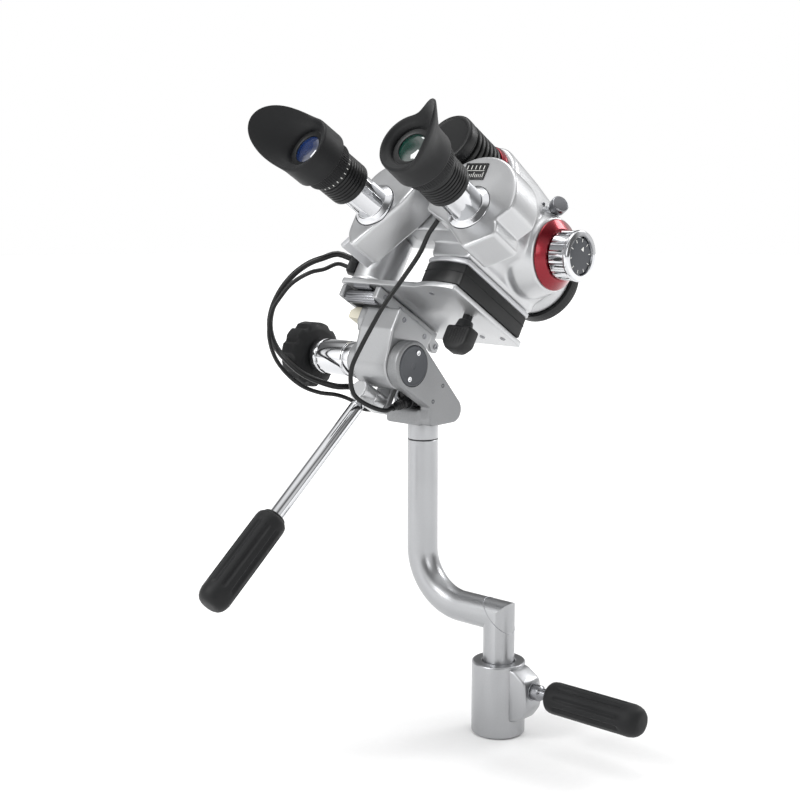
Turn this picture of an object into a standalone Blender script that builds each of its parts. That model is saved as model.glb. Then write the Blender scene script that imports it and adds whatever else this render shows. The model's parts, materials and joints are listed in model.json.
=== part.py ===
"""Binocular examination-microscope head on an alt-azimuth mount with a cranked arm.

Metres, +Z up.  The origin is the middle of the flat foot of the column collar.
The operator stands on the -Y side; the tilt axis and the magnification drum run along X.
"""
import math

import bmesh
import bpy
import numpy as np
from mathutils import Matrix, Vector

MM = 0.001
NAME = "alt_azimuth_microscope_mount"
GAP = 0.3 * MM            # play left between two pieces that touch
HOLE_PLAY = 0.3 * MM      # radial play of a shaft in its bore
FACETS = 0.52             # share of the nominal facet count that round pieces get

# ---- driving sizes -------------------------------------------------------------------------
TUBE_R = 11.0 * MM        # cranked arm tube
COLLAR_R = 18.8 * MM
COLLAR_H = 52.0 * MM
ARM_REACH = 71.0 * MM     # sideways offset of the crank
ARM_Z = 84.0 * MM         # height of the level run of the crank
BEND_R = 38.0 * MM
SEAM_Z = 201.4 * MM       # pan joint
YOKE_FOOT_Z = 213.5 * MM
TILT_Y = -35.7 * MM       # tilt axis, towards the operator from the post
TILT_Z = 258.8 * MM
HEAD_TILT = math.radians(32.0)
GRIP_R = 11.0 * MM
GRIP_LEN = 74.0 * MM
ROD_R = 5.0 * MM
ROD_SLOPE = math.radians(39.2)

BOSS_R = 17.5 * MM        # round end of the yoke cheek, and of the tilt block
CHEEK = (13.0 * MM, 22.6 * MM)
BLOCK = (-19.0 * MM, 12.6 * MM)
SHAFT_R = 6.0 * MM

PLATE_X = (-39.0 * MM, 66.0 * MM)
PLATE_Y = (-36.5 * MM, 48.0 * MM)
PLATE_Z = (42.3 * MM, 46.0 * MM)
RAIL_X = (-38.0 * MM, -1.5 * MM)
RAIL_Y = (-34.0 * MM, 37.0 * MM)
RAIL_Z = (33.0 * MM, PLATE_Z[0] - GAP)
RAIL_T = 4.0 * MM
PINION_R = 4.6 * MM
PINION_Y = -28.2 * MM

MID_X = 50.0 * MM         # middle plane of the binocular head
BOX_X = (33.0 * MM, 68.0 * MM)
BAND_Z = (46.3 * MM, 61.6 * MM)
TOP_Z = (61.9 * MM, 65.4 * MM)
BODY_Y = (-51.6 * MM, 46.0 * MM)
DRUM_YZ = (20.5 * MM, 101.5 * MM)
CHANNEL_X = 22.0 * MM     # half the distance between the two light channels
CHANNEL_Z = 102.0 * MM
BOSS_HALF = 38.0 * MM     # half width over the drum bosses
LAMP_Z = 131.5 * MM
LAMP_R = 18.2 * MM
LAMP_Y = (-79.0 * MM, -36.0 * MM)
OBJ_R = 24.5 * MM
OBJ_END = 62.0 * MM       # front end of the objective barrel

FACE_Y = -79.0 * MM       # operator face of the two prism housings
HOUSE_D = 27.0 * MM
EYE_X = 40.5 * MM         # half the eyepiece spacing at the housings
EYE_Z = 79.5 * MM
TOE = math.radians(3.2)   # each eyepiece spreads outwards by this much
DISC_R = 34.0 * MM
EYE_TUBE_R = 11.6 * MM
COLLAR_RING_R = 15.2 * MM
BARREL_R = 15.2 * MM
DIOPTER_R = 17.0 * MM
EYECUP_R = 19.8 * MM
WING_OUT = 13.0 * MM      # how far the eyecup's wing leans out
WING_UP = 22.0 * MM       # and how far it rises past the rim
BARREL_AT = (25.0 * MM, 47.0 * MM)     # distance from the housing face, along the tube
LENS_AT = 69.0 * MM

LEAD_R = 1.6 * MM
LOOP_THICK_R = 2.2 * MM
LOOP_THIN_R = 1.5 * MM

X, Y, Z = Vector((1, 0, 0)), Vector((0, 1, 0)), Vector((0, 0, 1))

# ---- scene set-up --------------------------------------------------------------------------
for old in list(bpy.data.objects):
    bpy.data.objects.remove(old, do_unlink=True)
PARTS = bpy.data.collections.new(NAME)
CUTTERS = bpy.data.collections.new(NAME + "_cutters")
for col in (PARTS, CUTTERS):
    bpy.context.scene.collection.children.link(col)


def rgb(hexa):
    """sRGB hex to linear RGBA."""
    out = []
    for i in (0, 2, 4):
        c = int(hexa[i:i + 2], 16) / 255
        out.append(c / 12.92 if c <= 0.04045 else ((c + 0.055) / 1.055) ** 2.4)
    return (*out, 1.0)


def material(name, hexa, rough, metal):
    mat = bpy.data.materials.new(name)
    mat.use_nodes = True
    bsdf = mat.node_tree.nodes["Principled BSDF"]
    bsdf.inputs["Base Color"].default_value = rgb(hexa)
    bsdf.inputs["Roughness"].default_value = rough
    bsdf.inputs["Metallic"].default_value = metal
    mat.diffuse_color = rgb(hexa)
    return mat


FINISH = {
    "satin": ("C3C4C6", 0.38, 0.9), "cast": ("8F9092", 0.5, 0.8), "tube": ("B4B6BA", 0.32, 0.95),
    "chrome": ("E4E6E8", 0.1, 1.0), "grey": ("5A5C60", 0.55, 0.3), "black": ("2B2D2E", 0.5, 0.0),
    "rubber": ("26292A", 0.72, 0.0), "red": ("A01E2E", 0.3, 0.7), "steel": ("9A9B9E", 0.35, 1.0),
    "glass": ("24465A", 0.08, 0.0), "cream": ("D9D5C6", 0.5, 0.0), "paint": ("A9AAAC", 0.42, 0.3),
    "light": ("D2D3D4", 0.45, 0.2), "cable": ("1B1C1D", 0.55, 0.0),
}


def frame(name, parent=None, loc=(0, 0, 0), rot=(0, 0, 0)):
    """An empty that carries the pieces of one moving group."""
    e = bpy.data.objects.new(name, None)
    PARTS.objects.link(e)
    e.parent = parent
    e.location = loc
    e.rotation_euler = rot
    return e


def turn_to(axis):
    """Rotation that lays local +Z along the given direction."""
    return Vector(axis).normalized().to_track_quat("Z", "Y").to_matrix().to_4x4()


def put(name, bm, finish, parent=None, at=(0, 0, 0), axis=None, smooth=40, cutter=False):
    """Make an object from a bmesh, with its origin at the given place of its group."""
    bmesh.ops.recalc_face_normals(bm, faces=bm.faces)
    me = bpy.data.meshes.new(name)
    bm.to_mesh(me)
    bm.free()
    ob = bpy.data.objects.new(name, me)
    (CUTTERS if cutter else PARTS).objects.link(ob)
    ob.parent = parent
    ob.matrix_local = Matrix.Translation(at) @ (turn_to(axis) if axis is not None else Matrix())
    if cutter:
        ob.hide_render = True
        ob.display_type = "WIRE"
        return ob
    me.materials.append(material(name + "_" + finish, *FINISH[finish]))
    if smooth:
        for poly in me.polygons:
            poly.use_smooth = True
        me.set_sharp_from_angle(angle=math.radians(smooth))
    return ob


def box_bm(xs, ys, zs):
    bm = bmesh.new()
    size = [b - a for a, b in (xs, ys, zs)]
    mid = [(a + b) / 2 for a, b in (xs, ys, zs)]
    bmesh.ops.create_cube(bm, size=1.0)
    bmesh.ops.scale(bm, vec=size, verts=bm.verts)
    bmesh.ops.translate(bm, vec=mid, verts=bm.verts)
    return bm


def round_edges(bm, width, segments=2, pick=None):
    edges = [e for e in bm.edges if pick is None or pick(e)]
    bmesh.ops.bevel(bm, geom=edges, offset=width, segments=segments, profile=0.5,
                    affect="EDGES", clamp_overlap=True)
    return bm


def along(axis_index):
    """Picks the edges that run along one local axis."""
    def pick(e):
        d = (e.verts[0].co - e.verts[1].co).normalized()
        return abs(d[axis_index]) > 0.99
    return pick


def facets(nominal):
    return max(10, 2 * round(nominal * FACETS / 2))


def rod_bm(r, z0, z1, segments=32, r1=None):
    bm = bmesh.new()
    segments = facets(segments)
    bmesh.ops.create_cone(bm, cap_ends=True, segments=segments, radius1=r,
                          radius2=r if r1 is None else r1, depth=z1 - z0)
    bmesh.ops.translate(bm, vec=(0, 0, (z0 + z1) / 2), verts=bm.verts)
    return bm


def rings_bm(rings, closed=False):
    """Skin between rings of points; open runs get flat end caps."""
    bm = bmesh.new()
    rows = [[bm.verts.new(p) for p in ring] for ring in rings]
    n = len(rows[0])
    pairs = list(zip(rows, rows[1:])) + ([(rows[-1], rows[0])] if closed else [])
    for a, b in pairs:
        for i in range(n):
            bm.faces.new((a[i], a[(i + 1) % n], b[(i + 1) % n], b[i]))
    if not closed:
        bm.faces.new(list(reversed(rows[0])))
        bm.faces.new(rows[-1])
    return bm


def turned_bm(profile, segments=40):
    """Solid of revolution about +Z from (radius, height) pairs that close on themselves."""
    n = facets(segments)
    turn = [2 * math.pi * i / n for i in range(n)]
    return rings_bm([[(r * math.cos(a), r * math.sin(a), z) for r, z in profile] for a in turn],
                    closed=True)


def slab_bm(outline, lo, hi, plane="xz"):
    """Outline extruded between two depths, square to the named plane."""
    def at(p, d):
        return (p[0], d, p[1]) if plane == "xz" else (d, p[0], p[1]) if plane == "yz" else (*p, d)
    return rings_bm([[at(p, lo) for p in outline], [at(p, hi) for p in outline]])


def arc(cx, cy, r, a0, a1, n):
    return [(cx + r * math.cos(math.radians(a0 + (a1 - a0) * i / n)),
             cy + r * math.sin(math.radians(a0 + (a1 - a0) * i / n))) for i in range(n + 1)]


def soften(points, r, n=3):
    """Round every corner of a closed outline."""
    out = []
    pts = [Vector(p) for p in points]
    for i, p in enumerate(pts):
        a, b = pts[i - 1], pts[(i + 1) % len(pts)]
        ra = min(r, (a - p).length * 0.45)
        rb = min(r, (b - p).length * 0.45)
        s, e = p + (a - p).normalized() * ra, p + (b - p).normalized() * rb
        for k in range(n + 1):
            t = k / n
            q = s * (1 - t) ** 2 + p * 2 * t * (1 - t) + e * t * t
            out.append((q.x, q.y))
    return out


def fluted_bm(stations, lobes, per_lobe=4):
    """Bar along +Z whose section is scalloped; stations are (height, radius, groove depth)."""
    n = lobes * per_lobe
    rings = []
    for z, r, deep in stations:
        ring = []
        for i in range(n):
            phase = (i % per_lobe) / per_lobe
            cut = deep * max(0.0, math.cos(2 * math.pi * phase)) ** 0.8
            a = 2 * math.pi * i / n
            ring.append(((r - cut) * math.cos(a), (r - cut) * math.sin(a), z))
        rings.append(ring)
    return rings_bm(rings)


def modify(ob, other, operation):
    other.hide_render = True
    m = ob.modifiers.new(operation.lower(), "BOOLEAN")
    m.operation = operation
    m.solver = "EXACT"
    m.object = other


def cut(ob, bm, at=(0, 0, 0), axis=None):
    c = put(ob.name + "_cut%d" % len(ob.modifiers), bm, None, ob.parent, at, axis, cutter=True)
    modify(ob, c, "DIFFERENCE")


def join(ob, bm, at=(0, 0, 0), axis=None):
    c = put(ob.name + "_add%d" % len(ob.modifiers), bm, None, ob.parent, at, axis, cutter=True)
    modify(ob, c, "UNION")


def smooth_route(points, step):
    """Evenly spaced points on a smooth curve through the route points."""
    pts = [Vector(p) for p in points]
    ext = [pts[0] * 2 - pts[1]] + pts + [pts[-1] * 2 - pts[-2]]
    fine = []
    for i in range(1, len(ext) - 2):
        p0, p1, p2, p3 = ext[i - 1:i + 3]
        d1 = max((p1 - p0).length, 1e-6) ** 0.5
        d2 = max((p2 - p1).length, 1e-6) ** 0.5
        d3 = max((p3 - p2).length, 1e-6) ** 0.5
        m1 = ((p1 - p0) / d1 - (p2 - p0) / (d1 + d2) + (p2 - p1) / d2) * d2
        m2 = ((p2 - p1) / d2 - (p3 - p1) / (d2 + d3) + (p3 - p2) / d3) * d2
        for k in range(24):
            t = k / 24
            fine.append(p1 * (2 * t ** 3 - 3 * t * t + 1) + m1 * (t ** 3 - 2 * t * t + t)
                        + p2 * (3 * t * t - 2 * t ** 3) + m2 * (t ** 3 - t * t))
    fine.append(pts[-1])
    dist = [0.0]
    for a, b in zip(fine, fine[1:]):
        dist.append(dist[-1] + (b - a).length)
    count = max(8, round(dist[-1] / step))
    out, j = [], 0
    for i in range(count + 1):
        s = dist[-1] * i / count
        while j < len(dist) - 2 and dist[j + 1] < s:
            j += 1
        t = (s - dist[j]) / max(dist[j + 1] - dist[j], 1e-9)
        out.append(fine[j].lerp(fine[j + 1], min(max(t, 0), 1)))
    return out


def cord(name, points, radius):
    """A round flexible lead along a smooth route, with filled ends."""
    path = smooth_route(points, radius * 5.0)
    cu = bpy.data.curves.new(name, "CURVE")
    cu.dimensions = "3D"
    cu.bevel_depth = radius
    cu.bevel_resolution = 2
    cu.use_fill_caps = True
    sp = cu.splines.new("POLY")
    sp.points.add(len(path) - 1)
    for p, q in zip(sp.points, path):
        p.co = (*q, 1.0)
    ob = bpy.data.objects.new(name, cu)
    PARTS.objects.link(ob)
    cu.materials.append(material(name + "_cable", *FINISH["cable"]))
    return ob


def sweep_bm(path, r, n=32, mitres=()):
    """Tube solid along a level/upright path in the XZ plane; mitre rings are stretched to fit."""
    rings = []
    pts = [Vector(p) for p in path]
    for i, p in enumerate(pts):
        a = (p - pts[i - 1]).normalized() if i else (pts[1] - p).normalized()
        b = (pts[i + 1] - p).normalized() if i < len(pts) - 1 else a
        t = (a + b).normalized()
        side = Y.cross(t).normalized()
        stretch = 1 / max(a.dot(t), 0.3)
        rings.append([p + side * (r * stretch * math.cos(2 * math.pi * k / n))
                      + Y * (r * math.sin(2 * math.pi * k / n)) for k in range(n)])
    return rings_bm(rings)


# ---- groups --------------------------------------------------------------------------------
crank = frame("crank_frame")
yoke = frame("yoke_frame", None, (-ARM_REACH, 0, 0))
TILT_AT = Vector((-ARM_REACH, TILT_Y, TILT_Z))
head = frame("head_frame", None, TILT_AT, (-HEAD_TILT, 0, 0))

# ---- column collar and its clamp -----------------------------------------------------------
CLAMP_Z = 36.0 * MM
LUG_X = 31.0 * MM
collar = put("column_collar", turned_bm([
    (COLLAR_R, COLLAR_H - 0.8 * MM), (COLLAR_R, 1.0 * MM), (COLLAR_R - 1.0 * MM, 0), (12.5 * MM, 0),
    (12.5 * MM, 13 * MM), (5 * MM, 13 * MM), (5 * MM, 16 * MM), (TUBE_R + HOLE_PLAY, 16 * MM),
    (TUBE_R + HOLE_PLAY, COLLAR_H - 0.8 * MM), (TUBE_R + 1.1 * MM, COLLAR_H),
    (COLLAR_R - 0.8 * MM, COLLAR_H)], 48), "tube")
lug = soften([(14 * MM, 50 * MM), (19.4 * MM, 50 * MM), (30 * MM, 37 * MM + 6 * MM),
              (LUG_X, 24 * MM), (24 * MM, 14 * MM), (14 * MM, 12 * MM)], 2.5 * MM)
join(collar, slab_bm(lug, -9 * MM, 9 * MM))
cut(collar, rod_bm(3.3 * MM, 0, 30 * MM, 20), (TUBE_R - 1 * MM, 0, CLAMP_Z), X)

clamp_at = (0, 0, CLAMP_Z)
put("clamp_screw", turned_bm([
    (2.2 * MM, 12 * MM), (3.0 * MM, 12.6 * MM), (3.0 * MM, LUG_X + GAP), (5.5 * MM, LUG_X + GAP),
    (5.5 * MM, 37 * MM), (4.0 * MM, 38.5 * MM), (4.0 * MM, 60 * MM), (0.4 * MM, 60 * MM),
    (0.4 * MM, 12 * MM)], 24), "steel", None, clamp_at, X)


def grip(name, parent, at, axis, bore_r, bore_len):
    """Fluted rubber hand grip with a socket at its near end."""
    r, n = GRIP_R, GRIP_LEN
    body = put(name, fluted_bm([
        (0, r - 3.2 * MM, 0), (0.8 * MM, r - 1.6 * MM, 0), (3 * MM, r - 0.3 * MM, 0),
        (8 * MM, r, 0), (10 * MM, r, 1.3 * MM), (n - 15 * MM, r, 1.3 * MM), (n - 12.5 * MM, r, 0),
        (n - 6 * MM, r, 0), (n - 2 * MM, r - 1.8 * MM, 0), (n - 0.4 * MM, r - 4.5 * MM, 0),
        (n, r - 6 * MM, 0)], 9), "rubber", parent, at, axis, 35)
    cut(body, rod_bm(bore_r, -1 * MM, bore_len, 24), at, axis)
    return body


CLAMP_GRIP_X = 45.0 * MM
grip("clamp_grip", None, (CLAMP_GRIP_X, 0, CLAMP_Z), X, 4.0 * MM + HOLE_PLAY, 16 * MM)

# ---- cranked arm ---------------------------------------------------------------------------
bend = [(-ARM_REACH + BEND_R - BEND_R * math.sin(a), 0, ARM_Z + BEND_R - BEND_R * math.cos(a))
        for a in [math.radians(10 * k) for k in range(10)]]
arm = put("crank_tube", sweep_bm(
    [(0, 0, 16.4 * MM), (0, 0, ARM_Z)] + bend + [(-ARM_REACH, 0, SEAM_Z - GAP)], TUBE_R, 24),
    "tube", crank)
PIN_R = 6.5 * MM
cut(arm, rod_bm(PIN_R + HOLE_PLAY, SEAM_Z - 26 * MM, SEAM_Z + 2 * MM, 28), (-ARM_REACH, 0, 0))
STOP_Z = 62.0 * MM
cut(arm, rod_bm(1.9 * MM, 5 * MM, 14 * MM, 16), (0, 0, STOP_Z), (-0.5, -1, 0))
put("crank_stop_screw", turned_bm([
    (1.6 * MM, 5.4 * MM), (1.6 * MM, 10.2 * MM), (0.9 * MM, 10.2 * MM), (0.9 * MM, 8.8 * MM),
    (0.3 * MM, 8.8 * MM), (0.3 * MM, 5.4 * MM)], 16), "steel", crank, (0, 0, STOP_Z),
    (-0.5, -1, 0))

# ---- yoke ----------------------------------------------------------------------------------
put("pan_stub", turned_bm([
    (TUBE_R, YOKE_FOOT_Z - GAP), (TUBE_R, SEAM_Z), (PIN_R, SEAM_Z), (PIN_R, SEAM_Z - 24 * MM),
    (2.5 * MM, SEAM_Z - 24 * MM), (2.5 * MM, YOKE_FOOT_Z - GAP)], 40), "tube", yoke)
FOOT_Y = (-19.5 * MM, 16.5 * MM)
FOOT_TOP = 226.0 * MM
tz, ty = TILT_Z, TILT_Y
cheek_line = (arc(ty, tz, BOSS_R, 42, 238, 18) + [(FOOT_Y[0] + 1.2 * MM, FOOT_TOP + 1.5 * MM)]
              + arc(FOOT_Y[0] + 5.6 * MM, YOKE_FOOT_Z + 5.4 * MM, 5 * MM, 180, 270, 3)
              + arc(FOOT_Y[1] - 9 * MM, YOKE_FOOT_Z + 9.4 * MM, 9 * MM, 270, 402, 6))
casting = put("yoke_casting", slab_bm(cheek_line, CHEEK[0], CHEEK[1], "yz"), "cast", yoke)
foot = round_edges(box_bm((-19 * MM, CHEEK[0] + 1 * MM), (FOOT_Y[0], FOOT_Y[1] - 4 * MM),
                          (YOKE_FOOT_Z, FOOT_TOP)), 4 * MM, 3,
                   lambda e: max(v.co.z for v in e.verts) < FOOT_TOP - 1 * MM
                   and max(v.co.x for v in e.verts) < CHEEK[0])
join(casting, foot)
join(casting, slab_bm([(FOOT_Y[0] + 9 * MM, FOOT_TOP - 1 * MM), (FOOT_Y[0] + 9 * MM, 240 * MM),
                       (FOOT_Y[1] - 18 * MM, 240 * MM), (FOOT_Y[1] - 5 * MM, FOOT_TOP - 1 * MM)],
                      -18 * MM, CHEEK[0] + 1 * MM, "yz"))
cut(casting, rod_bm(2.6 * MM, YOKE_FOOT_Z - 1 * MM, FOOT_TOP - 3 * MM, 20))
cut(casting, rod_bm(SHAFT_R + HOLE_PLAY, CHEEK[0] - 1 * MM, CHEEK[1] - 2.6 * MM, 28), (0, ty, tz), X)
CAP_R = 14.2 * MM
cut(casting, rod_bm(CAP_R + 0.4 * MM, CHEEK[1] - 2.6 * MM, CHEEK[1] + 1 * MM, 40), (0, ty, tz), X)
for dy, dz in ((31, -17), (20.5, -27)):
    cut(casting, rod_bm(1.0 * MM, CHEEK[1] - 3 * MM, CHEEK[1] + 1 * MM, 12),
        (0, ty + dy * MM, tz + dz * MM), X)

cap = put("tilt_cap", turned_bm([
    (CAP_R - 0.5 * MM, CHEEK[1] + 0.4 * MM), (CAP_R, CHEEK[1] - 0.2 * MM), (CAP_R, CHEEK[1] - 2.3 * MM),
    (1.2 * MM, CHEEK[1] - 2.3 * MM), (1.2 * MM, CHEEK[1] + 0.4 * MM)], 40), "grey", yoke,
    (0, ty, tz), X)
for k, tag in ((1, "a"), (-1, "b")):
    spot = (0, ty + k * 4.6 * MM, tz + k * 8.6 * MM)
    cut(cap, rod_bm(2.0 * MM, CHEEK[1] - 4 * MM, CHEEK[1] + 2 * MM, 20), spot, X)
    put("cap_screw_" + tag, turned_bm([
        (1.7 * MM, CHEEK[1] - 2.2 * MM), (1.7 * MM, CHEEK[1] + 0.6 * MM),
        (1.0 * MM, CHEEK[1] + 0.6 * MM), (1.0 * MM, CHEEK[1] - 0.6 * MM),
        (0.3 * MM, CHEEK[1] - 0.6 * MM), (0.3 * MM, CHEEK[1] - 2.2 * MM)], 16), "chrome", yoke,
        spot, X)

SLEEVE_X = (-67.0 * MM, -28.0 * MM)
KNOB_X = -69.0 * MM
put("tilt_shaft", turned_bm([
    (SHAFT_R, CHEEK[1] - 2.9 * MM), (SHAFT_R, SLEEVE_X[0] + 2 * MM), (4.0 * MM, SLEEVE_X[0] + 2 * MM),
    (4.0 * MM, KNOB_X - 12 * MM), (1.0 * MM, KNOB_X - 12 * MM), (1.0 * MM, CHEEK[1] - 2.9 * MM)], 28),
    "steel", yoke, (0, ty, tz), X)

# connector panel in the front of the foot, with the lamp socket and its plug
PANEL_Y = FOOT_Y[0] + 9 * MM
panel = put("connector_panel", round_edges(box_bm(
    (-16.5 * MM, CHEEK[0] - GAP), (PANEL_Y - 2 * MM, PANEL_Y - GAP),
    (FOOT_TOP + GAP, 239.5 * MM)), 0.5 * MM, 1), "steel", yoke)
SOCKET = Vector((5.0 * MM, PANEL_Y - 2 * MM, 232.2 * MM))
put("lamp_socket", turned_bm([
    (4.6 * MM, GAP), (4.6 * MM, 2.4 * MM), (3.4 * MM, 2.4 * MM), (3.4 * MM, GAP)], 24),
    "black", yoke, SOCKET, -Y)
PLUG_DIR = Vector((0.03, -0.98, -0.16)).normalized()
PLUG_AT = SOCKET + Vector((0, -3.4 * MM, 0))
plug = put("lamp_plug", turned_bm([
    (0.3 * MM, 0), (4.9 * MM, 0), (4.9 * MM, 2.4 * MM), (4.2 * MM, 2.8 * MM), (4.2 * MM, 4.0 * MM),
    (4.9 * MM, 4.4 * MM), (4.9 * MM, 6.2 * MM), (4.2 * MM, 6.6 * MM), (4.2 * MM, 12 * MM),
    (3.4 * MM, 12.8 * MM), (3.4 * MM, 14 * MM), (3.8 * MM, 14.4 * MM), (3.8 * MM, 17 * MM),
    (2.9 * MM, 19 * MM), (2.5 * MM, 23 * MM), (0.3 * MM, 23 * MM)], 24), "black", yoke,
    PLUG_AT, PLUG_DIR)

# ---- tilt block with its friction sleeve ---------------------------------------------------
NECK_TOP = RAIL_Z[0] - GAP
block_line = (arc(0, 0, BOSS_R, 205, 335, 12)
              + [(17.5 * MM, 10 * MM), (17.5 * MM, NECK_TOP), (-22 * MM, NECK_TOP),
                 (-22 * MM, 16 * MM)])
block = put("tilt_block", slab_bm(block_line, BLOCK[0], BLOCK[1], "yz"), "paint", head)
join(block, slab_bm([(-20 * MM, NECK_TOP - 0.3 * MM), (-20 * MM, 22 * MM), (-16 * MM, 16 * MM),
                     (12 * MM, 16 * MM), (16 * MM, 22 * MM), (16 * MM, NECK_TOP - 0.3 * MM)],
                    BLOCK[0] - 7 * MM, BLOCK[0] + 1 * MM, "yz"))
join(block, box_bm((-17.5 * MM, -2.5 * MM), (15.2 * MM, 21 * MM), (-31 * MM, 4 * MM)))
join(block, rod_bm(13.6 * MM, SLEEVE_X[1], BLOCK[0] + 1 * MM, 40), (0, 0, 0), X)
cut(block, rod_bm(SHAFT_R + HOLE_PLAY, -40 * MM, 20 * MM, 28), (0, 0, 0), X)
KNUCKLE_R = 7.4 * MM
KNUCKLE = Vector((-10.0 * MM, 0, -(BOSS_R + KNUCKLE_R + 0.5 * MM)))
cut(block, rod_bm(3.0 * MM + HOLE_PLAY, 14 * MM, 22 * MM, 20), KNUCKLE, Y)

put("friction_sleeve", turned_bm([
    (12.6 * MM, SLEEVE_X[1] - GAP), (12.6 * MM, SLEEVE_X[0] + 1 * MM), (11.8 * MM, SLEEVE_X[0]),
    (SHAFT_R + HOLE_PLAY, SLEEVE_X[0]), (SHAFT_R + HOLE_PLAY, SLEEVE_X[1] - GAP)], 40),
    "chrome", head, (0, 0, 0), X)
knob = put("friction_knob", fluted_bm([
    (0, 17.5 * MM, 0), (1.2 * MM, 20 * MM, 0), (2.2 * MM, 22.6 * MM, 1.0 * MM),
    (3.5 * MM, 23.6 * MM, 2.2 * MM), (14.5 * MM, 23.6 * MM, 2.2 * MM),
    (16 * MM, 22 * MM, 1.5 * MM), (17 * MM, 18 * MM, 0)], 11), "rubber", head,
    (KNOB_X, 0, 0), -X, 35)
cut(knob, rod_bm(4.0 * MM + HOLE_PLAY, -1 * MM, 12.6 * MM, 24), (KNOB_X, 0, 0), -X)
cut(knob, turned_bm([(16 * MM, -1 * MM), (16 * MM, 1.6 * MM), (9 * MM, 1.6 * MM),
                     (9 * MM, -1 * MM)], 32), (KNOB_X, 0, 0), -X)

# ---- pan handle ----------------------------------------------------------------------------
tilt_matrix = Matrix.Rotation(-HEAD_TILT, 4, "X").to_3x3()
rod_dir = tilt_matrix.inverted() @ Vector((0, -math.cos(ROD_SLOPE), -math.sin(ROD_SLOPE)))
handle = frame("handle_frame", head, KNUCKLE)
knuckle = put("handle_knuckle", turned_bm([
    (0.4 * MM, -9 * MM), (KNUCKLE_R - 1 * MM, -9 * MM), (KNUCKLE_R, -8 * MM),
    (KNUCKLE_R, 14 * MM), (KNUCKLE_R - 0.9 * MM, 14.9 * MM), (3.0 * MM, 14.9 * MM),
    (3.0 * MM, 21.6 * MM), (0.4 * MM, 21.6 * MM)], 32), "satin", handle, (0, 0, 0), Y)
cut(knuckle, rod_bm(3.4 * MM, 2.4 * MM, 12 * MM, 20), (0, 0, 0), rod_dir)
HANDLE_LEN = 132.0 * MM
put("handle_rod", turned_bm([
    (0.3 * MM, 3 * MM), (3.1 * MM, 3 * MM), (3.1 * MM, 10.2 * MM), (4.4 * MM, 11.0 * MM),
    (ROD_R, 12.6 * MM), (ROD_R, HANDLE_LEN), (0.3 * MM, HANDLE_LEN)], 28), "chrome", handle,
    (0, 0, 0), rod_dir)
GRIP_AT = 114.0 * MM
grip("handle_grip", handle, rod_dir * GRIP_AT, rod_dir, ROD_R + HOLE_PLAY,
     HANDLE_LEN - GRIP_AT + 0.6 * MM)

# ---- slide under the head ------------------------------------------------------------------
channel = put("rail_channel", box_bm(RAIL_X, RAIL_Y, RAIL_Z), "paint", head)
inner = (RAIL_X[0] + RAIL_T, RAIL_X[1] - RAIL_T)
cut(channel, box_bm(inner, (-11 * MM, RAIL_Y[1] + 1 * MM), (RAIL_Z[0] + 2.4 * MM, RAIL_Z[1] + 1 * MM)))
cut(channel, box_bm(inner, (RAIL_Y[0] - 1 * MM, -11.5 * MM), (RAIL_Z[0] - 1 * MM, RAIL_Z[1] + 1 * MM)))
cut(channel, box_bm(inner, (-12 * MM, -9 * MM), (RAIL_Z[0] + 2.4 * MM, RAIL_Z[1] + 1 * MM)))
join(channel, slab_bm(soften([(33 * MM, 38 * MM), (43.5 * MM, 36 * MM), (43.5 * MM, 28.5 * MM),
                              (37 * MM, 27.5 * MM), (30 * MM, 33.5 * MM)], 2 * MM),
                      RAIL_X[1] - RAIL_T, RAIL_X[1], "yz"))
for y in (-8, 39.5):
    cut(channel, rod_bm(1.3 * MM, RAIL_X[1] - RAIL_T - 1 * MM, RAIL_X[1] + 1 * MM, 14),
        (0, y * MM, (36.5 if y < 0 else 32.5) * MM), X)
PINION_Z = 35.6 * MM
for side in inner:
    reach = 1 if side > -20 * MM else -1
    cut(channel, rod_bm(2.0 * MM + HOLE_PLAY, -1 * MM, 3 * MM, 16), (side, PINION_Y, PINION_Z),
        (reach, 0, 0))
PINION_AT = Vector((0, PINION_Y, PINION_Z))
put("slide_pinion", fluted_bm([
    (inner[0] - 2.2 * MM, 2.0 * MM, 0), (inner[0] + GAP, 2.0 * MM, 0),
    (inner[0] + GAP + 0.01 * MM, PINION_R - 0.6 * MM, 0), (inner[0] + 1.2 * MM, PINION_R, 0.7 * MM),
    (inner[1] - 1.2 * MM, PINION_R, 0.7 * MM), (inner[1] - GAP - 0.01 * MM, PINION_R - 0.6 * MM, 0),
    (inner[1] - GAP, 2.0 * MM, 0), (inner[1] + 2.2 * MM, 2.0 * MM, 0)], 12, 2), "black", head,
    PINION_AT, X, 30)
put("stop_block", slab_bm(soften([(-37.5 * MM, 24 * MM), (-27 * MM, 24 * MM), (-27 * MM, NECK_TOP),
                                  (-33 * MM, NECK_TOP), (-37.5 * MM, NECK_TOP - 3 * MM)], 0.8 * MM),
                          -18 * MM, -6 * MM), "cream", head)

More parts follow.
